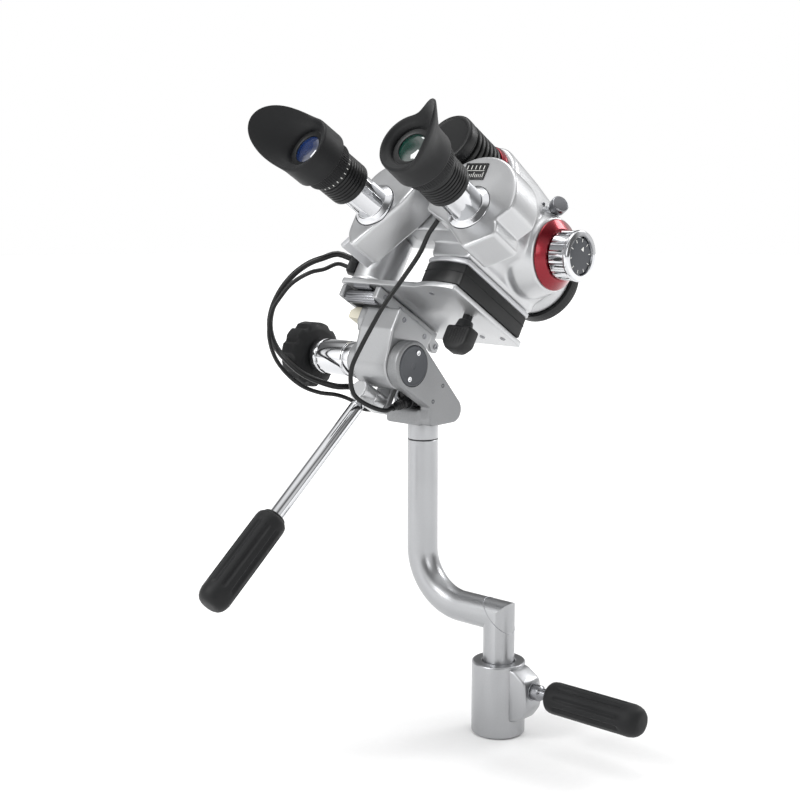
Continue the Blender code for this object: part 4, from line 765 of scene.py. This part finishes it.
def carriage_plate():
    """Plate that carries the head, with its bulged front edge, and the round pillar."""
    bulge = [(x, -36.5 - 3.2 * (1 - ((x - 49) / 18) ** 2)) for x in range(32, 66)]
    outline = (ease([(66, -36), (66, 48), (-39, 48), (-39, -36.5), (31, -36.5)], 3, False, 8) + bulge)
    piece("carriage_plate", slab(outline, PLATE_LO, PLATE_HI, "xy", 0.55), "satin_silver", "carriage",
        HEAD, "base_plate", 35)
    screws("plate_screw", [(x, y, PLATE_LO) for x, y in ((40, -28), (58, 36), (40, 36), (-20, 36))], -Z,
        2.0, 0.35, "carriage")
    screws("plate_top_screw", [(x, y, PLATE_HI) for x, y in ((-33, 41), (10, 41), (22, -30))], Z, 1.8,
        0.35, "carriage")
    post = lathe([(0, 46.3), (16.4, 46.3), (16.4, 48), (15.6, 49), (15.6, 84.7), (14.6, 85.7), (0,
        85.7)], 0.4, 128)
    piece("round_pillar", post, "satin_silver", "carriage", seat(HEAD, (PILLAR.x, PILLAR.y, 0), Z),
        "support_pillar", 32)


def box_line(grow):
    """Plan of the stacked box: flat sides and a bowed operator side."""
    lo, hi = 33 - grow, 68 + grow
    bow = [(lo + (hi - lo) * k / 24, -35.5 - grow - 4.0 * (1 - (k / 12 - 1) ** 2)) for k in range(1, 24)]
    return ease([(hi, -35.5)] + [(hi, 42 + grow), (lo, 42 + grow)] + [(lo, -35.5)], 2.5, False, 6) + bow


def stacked_box():
    """Black band and pale top under the head, with the lock lever below."""
    piece("black_band", slab(box_line(-0.4), 46.3, 61.6, "xy", 0.8), "black_plastic", "carriage", HEAD,
        "box_band", 35)
    piece("band_groove_line", slab(box_line(-0.15), 55.2, 55.8, "xy", 0.15), "rubber", "carriage", HEAD)
    piece("pale_top", slab(box_line(0.2), 61.9, 65.4, "xy", 0.9), "light_paint", "carriage", HEAD,
        "box_top", 35)
    wing = slab(ease([(-10.5, 33), (10.5, 33), (10.5, 21), (5, 15), (-5, 15), (-10.5, 20)], 2.4, True,
        6), -5.5, 5.5, "xz", 1.6)
    stem = lathe([(0, 32), (6.4, 32), (5.2, 38), (3.4, 38.5), (3.4, 49), (0, 49)], 0.4, 64)
    ribs = [block((-7.6 + 2.4 * k, -6.6 + 2.4 * k), (-5.75, 5.75), (19.5, 30.5), 0.3) for k in range(6)]
    piece("lock_wing", gather([wing, stem] + ribs), "black_plastic", "lever", seat(HEAD, (50, 3, 0), Z),
        "lock_lever", 40)


slide()
carriage_plate()
stacked_box()


# ---- head casting ----
DRUM_Y, DRUM_Z = 20.5, 101.5
CHANNEL_X, CHANNEL_Z = 22.0, 102.0
BODY_BACK = -35.6


def head_casting():
    """One casting: body shell, prism flange, drum bosses, objective barrel and pillar bridge."""
    shell = ease([(-34, 88), (-17.5, 76), (-17.5, 66), (17.5, 66), (17.5, 76), (34, 88), (34, 118), (22,
        142), (10, 151), (-10, 151), (-22, 142), (-34, 118)], 6, True, 6)

    def ring(y, wide, top, low):
        return [(MID_X + p.x * wide, y, low + (top - low) * (p.y - 66) / 85) for p in shell]
    body = lofted([ring(-35.6, 0.97, 151.5, 67), ring(-32.6, 1.0, 153, 66), ring(0, 1.0, 151, 66),
        ring(24, 1.0, 148, 66), ring(40, 0.97, 142, 66), ring(46, 0.9, 138, 68)])
    flange = slab([(MID_X + p.x, p.y) for p in ease([(-44, 94), (-36, 78), (36, 78), (44, 94), (40, 112),
        (25, 120), (17, 109), (-17, 109), (-25, 120), (-40, 112)], 5, True, 6)], -51.6, BODY_BACK + 8,
        "xz", 1.0)
    bosses = lathe([(0, -38), (25, -38), (26, -37), (31, -24), (31, 24), (26, 37), (25, 38), (0, 38)],
        0.8, 128)
    barrel = lathe([(0, 36), (31, 36), (29, 44), (26.5, 52), (25.5, 62), (0, 62)], 1.5, 128)
    bridge = slab(ease([(-38, 86), (MID_X - 20, 86), (MID_X - 20, 98), (-38, 98)], 3, True, 6),
        PILLAR.y - 13, PILLAR.y + 13, "xz", 1.5)
    blank = gather([body, flange, (bosses, seat(WORLD, (MID_X, DRUM_Y, DRUM_Z), X)), (barrel, seat(WORLD,
        (MID_X, 0, DRUM_Z - 1), Y)), bridge])
    bores = gather([rod(5.3, -60, 60, (MID_X, DRUM_Y, DRUM_Z), X), rod(11.4, -60, -14,
        (MID_X - CHANNEL_X, 0, CHANNEL_Z), Y), rod(11.4, -60, -14, (MID_X + CHANNEL_X, 0, CHANNEL_Z), Y),
        rod(22.5, 50, 66, (MID_X, 0, DRUM_Z - 1), Y), rod(LAMP_R - 5, BODY_BACK - 5, BODY_BACK + 12,
        (MID_X, 0, LAMP_Z), Y), rod(3.3, -8, 8, FILTER, FILTER_DIR)])
    piece("head_body", worked(blank, 0.95, 7, bores), "satin_silver", "carriage", HEAD, "body_casting",
        42)


def cover_screws():
    """Small socket screws let into the casting's cheeks."""
    for side in (-1, 1):
        screws("body_screw_" + ("left" if side < 0 else "right"), [(MID_X + side * depth, y, z) for y, z,
            depth in ((-28, 92, 33.6), (2, 130, 28.0), (36, 126, 29.0))], X * side, 1.6, 0.5, "carriage")


def objective():
    """Knurled front ring round the coated objective."""
    place = seat(HEAD, (MID_X, 0, DRUM_Z - 1), Y)
    ring = lathe([(27.5, 62.3), (27.5, 70), (26.5, 71), (21.5, 71), (20.7, 70.2), (19.5, 69.6), (18.8,
        68.6), (18, 68), (18, 56), (22.1, 56), (22.1, 62.3)], 0.25, 128, loop=True)
    knurl = ring_of(84, 27.45, lambda: block((-0.28, 0.1), (-0.35, 0.35), (64, 68.6), 0.12))
    piece("front_ring", gather([ring, knurl]), "black_plastic", "carriage", place, "objective_ring", 35)
    glass = lathe([(0, 59), (17.7, 59), (17.7, 64), (15, 65.1), (12, 65.8), (9, 66.35), (6, 66.7), (3,
        66.93), (0, 67)], 0.6, 96)
    piece("front_glass", glass, "glass", "carriage", place, "objective_lens", 50)


FILTER = Vector((80.5, 12.0, 131.0))
FILTER_DIR = Vector((0.80, -0.52, 0.30)).normalized()
head_casting()
cover_screws()
objective()


# ---- lamp ----
def lamp():
    """Finned lamp housing with its red seat ring and black end cap."""
    place = seat(HEAD, (MID_X, 0, LAMP_Z), Y)
    y0, y1 = -79.0, -36.0
    ring = lathe(moved([(1.6, 0), (1.9, -1), (0.4, -4.6), (-8, -4.6), (-8, 0)], LAMP_R, y1), 0.4, 128,
        loop=True)
    piece("red_lamp_ring", ring, "red_anodised", "carriage", place, "lamp_ring")
    fin = [(-1.9, 0), (-0.4, -0.2), (-0.1, -0.7), (-0.1, -2.6), (-0.4, -3.1), (-1.9, -3.3)]
    fins = moved([(-7, -4.9), (-1, -4.9)], LAMP_R, y1)
    for k in range(6):
        fins += moved(fin, LAMP_R, y1 - 6.2 - k * 4.6)
    fins += moved([(-0.4, 8.2), (-0.4, 7.3), (-7, 7.3)], LAMP_R, y0)
    piece("finned_housing", lathe(fins, 0.12, 128, loop=True), "black_plastic", "carriage", place,
        "lamp_housing", 35)
    skirt = moved([(-3.4, 0.5), (-2.8, 0), (-1.2, 0.2), (0, 1.6), (0, 7.0), (-7.4, 7.0), (-7.4, 16)],
        LAMP_R, y0)
    cap = lathe([(0, y0 + 0.5)] + skirt + [(0, y0 + 16)], 0.5, 128)
    piece("lamp_end_cap", cap, "black_plastic", "carriage", place, "lamp_cap", 35)
    boot = lathe([(0, 0.05), (3.4, 0.05), (3.2, 1.6), (2.6, 2.0), (2.6, 3.0), (2.9, 3.4), (2.5, 4.4),
        (2.1, 5.0), (2.1, 6.0), (0, 6.0)], 0.3, 48)
    piece("lead_boot", boot, "black_plastic", "carriage", seat(HEAD, (MID_X, LEAD_OUT_Y,
        LAMP_Z - LAMP_R), -Z))


# ---- magnification drum ----
def drum():
    """Shaft through the casting with a red ring, two fluted knobs and a marked dial."""
    place = seat(HEAD, (MID_X, DRUM_Y, DRUM_Z), X)
    ring = lathe([(24.4, 38.3), (24.4, 39.4), (18, 43.6), (6, 43.6), (6, 38.3)], 0.5, 128, loop=True)
    piece("red_drum_ring", ring, "red_anodised", "carriage", place, "drum_ring", 35)
    piece("drum_spindle", lathe([(0, -54), (5, -54), (5, 54), (0, 54)], 0.3, 64), "steel", "drum", place,
        "drum_shaft")
    bore_end = 54.6
    for side, tag, start_at, end in ((1, "drum_knob", 44.0, 60.0), (-1, "drum_knob_far", 39.0, 55.0)):
        knob = fluted([(start_at, 15.5, 0), (start_at + 0.4, 16.3, 0.3), (start_at + 1.0, 16.8, 1.1),
            (end - 3.8, 16.8, 1.1), (end - 3.3, 17.3, 0.1), (end - 3.0, 17.4, 0), (end - 1.0, 17.4, 0),
            (end - 0.4, 17.1, 0), (end, 16.4, 0)], 16, 12, 0.9)
        holes = [rod(5.1, start_at - 1, bore_end, steps=48)]
        if side > 0:
            holes.append(lathe([(0, end - 2.6), (12.6, end - 2.6), (13.6, end + 1), (0, end + 1)], 0.05,
                96))
        whole = worked(knob, None, 0, gather(holes))
        piece(tag + "_turned", whole, "chrome", "drum", seat(HEAD, (MID_X, DRUM_Y, DRUM_Z), X * side),
            tag, 35)
    dial = lathe([(0, 57.7), (12.2, 57.7), (12.2, 58.7), (8, 58.9), (0, 59.1)], 0.2, 96)
    piece("dial_disc", dial, "dark_grey", "drum", place, "drum_dial", 40)
    ticks = ring_of(10, 10.6, lambda: block((-1.1, 1.1), (-0.22, 0.22), (58.55, 59.0), 0.05))
    piece("dial_ticks", ticks, "marks", "drum", place)
    pointer = slab(ease([(-1.6, 4.2), (1.6, 4.2), (0, 7.2)], 0.3, True, 4), 58.75, 59.15, "xy", 0.05)
    piece("dial_pointer", pointer, "marks", "drum", place)


def filter_knob():
    knob = lathe([(0, -4), (3, -4), (3, 3), (5.9, 3.6), (6.2, 4.2), (6.2, 9.2), (5.6, 9.8), (0, 9.8)],
        0.3, 96)
    knurl = ring_of(54, 6.15, lambda: block((-0.2, 0.05), (-0.18, 0.18), (4.7, 8.7), 0.06))
    piece("knurled_filter_knob", gather([knob, knurl]), "steel", "filter", seat(HEAD, FILTER,
        FILTER_DIR), "filter_knob", 35)
    foot = lathe([(3.4, -0.6), (5.4, -0.6), (5.4, 2.4), (3.4, 2.4)], 0.3, 64, loop=True)
    piece("filter_bush", foot, "chrome", "carriage", seat(HEAD, FILTER, FILTER_DIR))


lamp()
drum()
filter_knob()


# ---- prism housings and eyepieces ----
FACE_Y, HOUSE_D = -79.0, 27.0
EYE_X, EYE_Z = 40.5, 79.5
TUBE, RING, BARREL, DIOPTER, CUP = 11.6, 15.2, 15.2, 17.0, 19.8
B0, B1, LENS_AT = 25.0, 47.0, 69.0
SPLAY = math.radians(3.2)
WING_OUT, WING_UP, CUP_STEPS = 13, 22, 96


def eyecup(wing):
    """Soft cup: a sleeve that flares into a rim, drawn out to a wing on one side."""
    rim = LENS_AT + 4.0
    profile = [(BARREL - 1.5, B1 + 8.8)] + moved([(-0.6, 8.8), (-0.1, 9.2), (0, 10)], CUP,
        B1) + moved([(0, -10), (0, -7), (0, -5), (0, -3), (0, -2), (0, -1.2), (0, -0.4), (-0.1, 0.6),
        (-0.6, 1.3), (-1.2, 1.6), (-2.0, 1.2), (-3.0, 0.2), (-4.6, -0.8), (-6.2, -1.6)], CUP,
        rim) + [(BARREL - 2.5, rim - 4), (BARREL - 1.5, rim - 6)]
    reach = [0, 0, 0, 0, 0, 0.02, 0.05, 0.12, 0.27, 0.45, 0.7, 0.98, 1.0, 1.0, 0.8, 0.5, 0.25, 0.08, 0, 0]
    rings = []
    for i in range(CUP_STEPS):
        a = math.tau * i / CUP_STEPS
        off = min(abs(a - wing), math.tau - abs(a - wing))
        lift = max(0.0, math.cos(min(0.95 * off, math.pi / 2))) ** 2.5
        rings.append([((r + WING_OUT * w * lift) * math.cos(a), (r + WING_OUT * w * lift) * math.sin(a),
            z + WING_UP * w * lift) for (r, z), w in zip(profile, reach)])
    bm = bmesh.new()
    grid = [[bm.verts.new(Vector(p) * MM) for p in ring] for ring in rings]
    size = len(profile)
    for near, far in zip(grid, grid[1:] + grid[:1]):
        for k in range(size):
            bm.faces.new((near[k], far[k], far[(k + 1) % size], near[(k + 1) % size]))
    return clean(bm)


def eyepiece(side):
    """One prism housing on its pivot, with tube, barrel, dioptre ring, lens and winged cup."""
    sx = -1 if side == "left" else 1
    body, turned = side + "_ocular", side + "_focus"
    pivot = Vector((MID_X + sx * CHANNEL_X, 0, CHANNEL_Z))
    spot = HEAD @ Matrix.Translation(pivot * MM)
    ex, ez = sx * (EYE_X - CHANNEL_X), EYE_Z - CHANNEL_Z
    back = FACE_Y + HOUSE_D
    if side == "left":
        line = [(ex + p, ez + q) for p, q in ((-14.5, -21), (-9.5, -29), (-5.0, -30.4), (21.6, 0), (26.8,
            8.7), (34.2, 22.0), (31, 34), (21, 39.5), (8, 37.5), (-9, 27), (-14.5, 20))]
        line = ease(line, 4.5, True, 6)
    else:
        foot = [(-14.8, -11.0), (5.6, -27.4), (8.0, -28.6), (10.6, -27.6), (27.0, -19.2), (28.6, -17.0),
            (26.4, -10.2), (25.0, -8.4)]
        line = arc(ex - 0.5, ez + 3.6, 34.0, -6, 190, 90) + [(ex + p, ez + q) for p, q in foot]
    axis = Vector((sx * math.sin(SPLAY), -math.cos(SPLAY), 0))
    base = Vector((ex, FACE_Y, ez))
    blank = gather([slab(line, FACE_Y, back, "xz", 1.8), rod(11, back - 2, back + 12, (0, 0, 0), Y, 96,
        0.4)])
    bores = gather([rod(RING + 0.5, -3.0, 8, base, axis, 128), rod(TUBE + 0.6, -18, 1, base, axis, 96)])
    piece(side + "_prism_box", worked(blank, 0.75, 3, bores), "satin_silver", body, spot, side
        + "_prism_housing", 42)
    place = seat(spot, base, axis)
    tube = lathe([(TUBE, -14), (TUBE, -2.7), (RING, -2.7), (RING, 0.6), (RING - 1.0, 1.4), (TUBE + 0.6,
        3.0), (TUBE, 3.2), (TUBE, 38), (TUBE - 1.6, 38), (TUBE - 1.6, -14)], 0.4, 128, loop=True)
    piece(side + "_chrome_tube", tube, "chrome", body, place, side + "_tube", 35)
    skin = [(TUBE + 0.3, B0)] + moved([(-1.2, 0), (-0.2, 1), (0, 2.2), (0, 3)], BARREL, B0)
    for k in range(6):
        skin += moved([(0, 0), (-0.7, 0.25), (-0.7, 0.85), (0, 1.1)], BARREL, B0 + 4.4 + k * 2.5)
    skin += moved([(0, -1), (-1.8, -1), (-1.8, 17)], BARREL, B1)
    skin += moved([(0.9, 17), (0.9, 13), (0.3, -6)], TUBE, B1)
    piece(side + "_ribbed_barrel", lathe(skin, 0.15, 128, loop=True), "black_plastic", body, place, side
        + "_barrel", 35)
    band = lathe([(BARREL - 1.5, B1 - 0.7), (DIOPTER - 0.5, B1 - 0.7), (DIOPTER - 0.3, B1),
        (DIOPTER - 0.3, B1 + 7.6), (DIOPTER - 0.6, B1 + 8.4), (BARREL - 1.5, B1 + 8.4)], 0.25, 128,
        loop=True)
    knurl = ring_of(64, DIOPTER - 0.35, lambda: block((-0.3, 0.33), (-0.45, 0.45), (B1 + 0.5, B1 + 7.2),
        0.15))
    piece(side + "_dioptre_ring", gather([band, knurl]), "rubber", turned, place, side + "_diopter", 35)
    glass = lathe(moved([(0, -6), (TUBE + 0.6, -6), (TUBE + 0.6, -2), (10, -1.15), (8, -0.4), (5.5,
        0.15), (3, 0.45), (0, 0.6)], 0, LENS_AT), 0.3, 96)
    piece(side + "_eye_glass", glass, side + "_glass", body, place, side + "_lens", 60)
    bezel = lathe(moved([(TUBE + 2.0, -3), (TUBE + 2.0, 0.2), (10.6, -0.1), (9.6, -0.3), (9.4, -1.0),
        (10.8, -1.6)], 0, LENS_AT), 0.2, 96, loop=True)
    piece(side + "_eye_bezel", bezel, "black_plastic", body, place, smooth=40)
    spin = place.to_3x3().inverted() @ (HEAD.to_3x3() @ Vector((sx, 0, 0.25)))
    piece(side + "_soft_cup", eyecup(math.atan2(spin.y, spin.x) % math.tau), "rubber", body, place, side
        + "_eyecup", 60)
    if side == "left":
        toward = place.to_3x3().inverted() @ (HEAD.to_3x3() @ Vector((0.88, 0, -0.47)))
        middle = math.degrees(math.atan2(toward.y, toward.x))
        marks = ring_of(9, BARREL - 0.05, lambda: block((-0.12, 0.08), (-0.24, 0.24), (B0 + 18.8, B0
            + 20.7), 0.04), middle - 54, 108)
        piece("left_barrel_marks", marks, "marks", body, place)
        cover = slab(ease([(base.x - 14.9, base.z - 9), (base.x - 27, base.z - 25), (base.x - 24.5,
            base.z - 27.5), (base.x - 14.9, base.z - 17)], 1.2, True, 5), FACE_Y + 10, FACE_Y + HOUSE_D
            + 12, "xz", 0.8)
        piece("left_cover_plate", cover, "light_paint", body, spot, "left_side_cover", 40)
    else:
        x, z = base.x - 6, base.z + 26
        label = block((x - 9, x + 9), (FACE_Y - 0.75, FACE_Y - 0.05), (z - 6, z + 6), 0.25)
        piece("scale_label", label, "black_plastic", body, spot, "scale_plate", 40)
        def mark(at, half, low, high):
            return block((x + at - half, x + at + half), (FACE_Y - 0.8, FACE_Y - 0.6), (z + low, z
                + high), 0.03)
        ticks = [mark(1.5 * k - 7.5, 0.2, -4.4, -0.8 if k % 5 == 0 else -2.2) for k in range(11)]
        ticks += [mark(3.3 * k - 6.6, 0.25, 1.2, 4.2) for k in range(5)]
        piece("scale_ticks", gather(ticks + [mark(0, 7.7, 0.2, 0.5)]), "marks", body, spot)


for eye in ("left", "right"):
    eyepiece(eye)


# ---- cable clip on the pillar ----
def cable_clip():
    place = HEAD @ Matrix.Translation(Vector((PILLAR.x, PILLAR.y,
        0)) * MM) @ Matrix.Rotation(math.atan2(CLIP_DIR.y, CLIP_DIR.x), 4, "Z")
    body = block((PILLAR_R + GAP, PILLAR_R + GAP + CLIP_T), (-4.6, 4.6), (52, 67.5), 1.3)
    lip = block((PILLAR_R + 1.2, PILLAR_R + CLIP_T - 0.4), (-4.75, 4.75), (59.2, 60.0), 0.2)
    piece("moulded_clip", gather([body, lip]), "black_plastic", "carriage", place, "cable_clip", 40)


cable_clip()


# ---- studio ----
def soft_box(tree, way, aim, inner, outer, power):
    """Brightness of one soft light, seen along a direction: full inside, fading to its rim."""
    toward = add(tree, "ShaderNodeVectorMath", {0: way, 1: Vector(aim).normalized()},
        operation="DOT_PRODUCT")
    return add(tree, "ShaderNodeMapRange", {"Value": toward.outputs["Value"],
        "From Min": math.cos(math.radians(outer)), "From Max": math.cos(math.radians(inner)),
        "To Min": 0.0, "To Max": power}, interpolation_type="SMOOTHSTEP").outputs["Result"]


def sky():
    """Pale surround; shiny surfaces mirror soft boxes with dark gaps between them."""
    world = bpy.data.worlds.new("studio_sky")
    bpy.context.scene.world = world
    world.use_nodes = True
    tree = world.node_tree
    back = tree.nodes["Background"]
    way = add(tree, "ShaderNodeTexCoord").outputs["Generated"]
    total = None
    for aim, inner, outer, power in (((-0.35, -1.0, 0.35), 18, 44, 1.5), ((1.0, -0.1, 0.15), 10, 32,
            0.75), ((0.0, 0.1, 1.0), 20, 50, 1.1), ((-1.0, 0.35, 0.1), 12, 34, 0.8), ((0.15, 1.0, 0.3),
            14, 40, 0.7)):
        box = soft_box(tree, way, aim, inner, outer, power)
        total = add(tree, "ShaderNodeMath", {0: total if total else 0.16, 1: box}).outputs[0]
    path = add(tree, "ShaderNodeLightPath").outputs
    matt = add(tree, "ShaderNodeMixRGB", {"Fac": path["Is Diffuse Ray"], "Color1": total,
        "Color2": (0.85, 0.85, 0.85, 1)})
    seen = add(tree, "ShaderNodeMixRGB", {"Fac": path["Is Camera Ray"], "Color1": matt.outputs["Color"],
        "Color2": (1, 1, 1, 1)})
    tree.links.new(seen.outputs["Color"], back.inputs["Color"])


def studio():
    """Plain pale floor that fades into the surround, and soft lights with one broad key."""
    floor = bmesh.new()
    bmesh.ops.create_circle(floor, cap_ends=True, segments=96, radius=6.0)
    ground = scratch("studio_floor", floor)
    ground.location = (0, 0, -0.0004)
    paper = grained("pale_studio_floor", "F6F6F6", "F2F2F2", 0.8, 4.0, 0.0)
    tree = paper.node_tree
    spread = add(tree, "ShaderNodeVectorMath", {0: add(tree, "ShaderNodeTexCoord").outputs["Object"]},
        operation="LENGTH")
    glow = add(tree, "ShaderNodeMapRange", {"Value": spread.outputs["Value"], "From Min": 0.3,
        "From Max": 1.4, "To Min": 0.0, "To Max": 0.5})
    shader = tree.nodes["Principled BSDF"]
    shader.inputs["Emission Color"].default_value = (1, 1, 1, 1)
    tree.links.new(glow.outputs["Result"], shader.inputs["Emission Strength"])
    ground.data.materials.append(paper)
    centre = Vector((-0.04, 0, 0.25))
    for name, place, size, watts in (("key", (-0.5, -1.5, 1.5), 0.8, 13), ("fill", (1.5, -0.7, 0.7), 0.7,
            3), ("rim", (0.6, 1.5, 1.2), 0.7, 9), ("top", (-0.3, 0.1, 1.9), 0.8, 8)):
        light = bpy.data.lights.new(name, "AREA")
        light.shape, light.size, light.energy = "DISK", size, watts
        holder = link(name, light)
        holder.location = place
        holder.rotation_euler = (centre - Vector(place)).to_track_quat("-Z", "Y").to_euler()
    bpy.context.scene.view_settings.view_transform = "Standard"


sky()
studio()
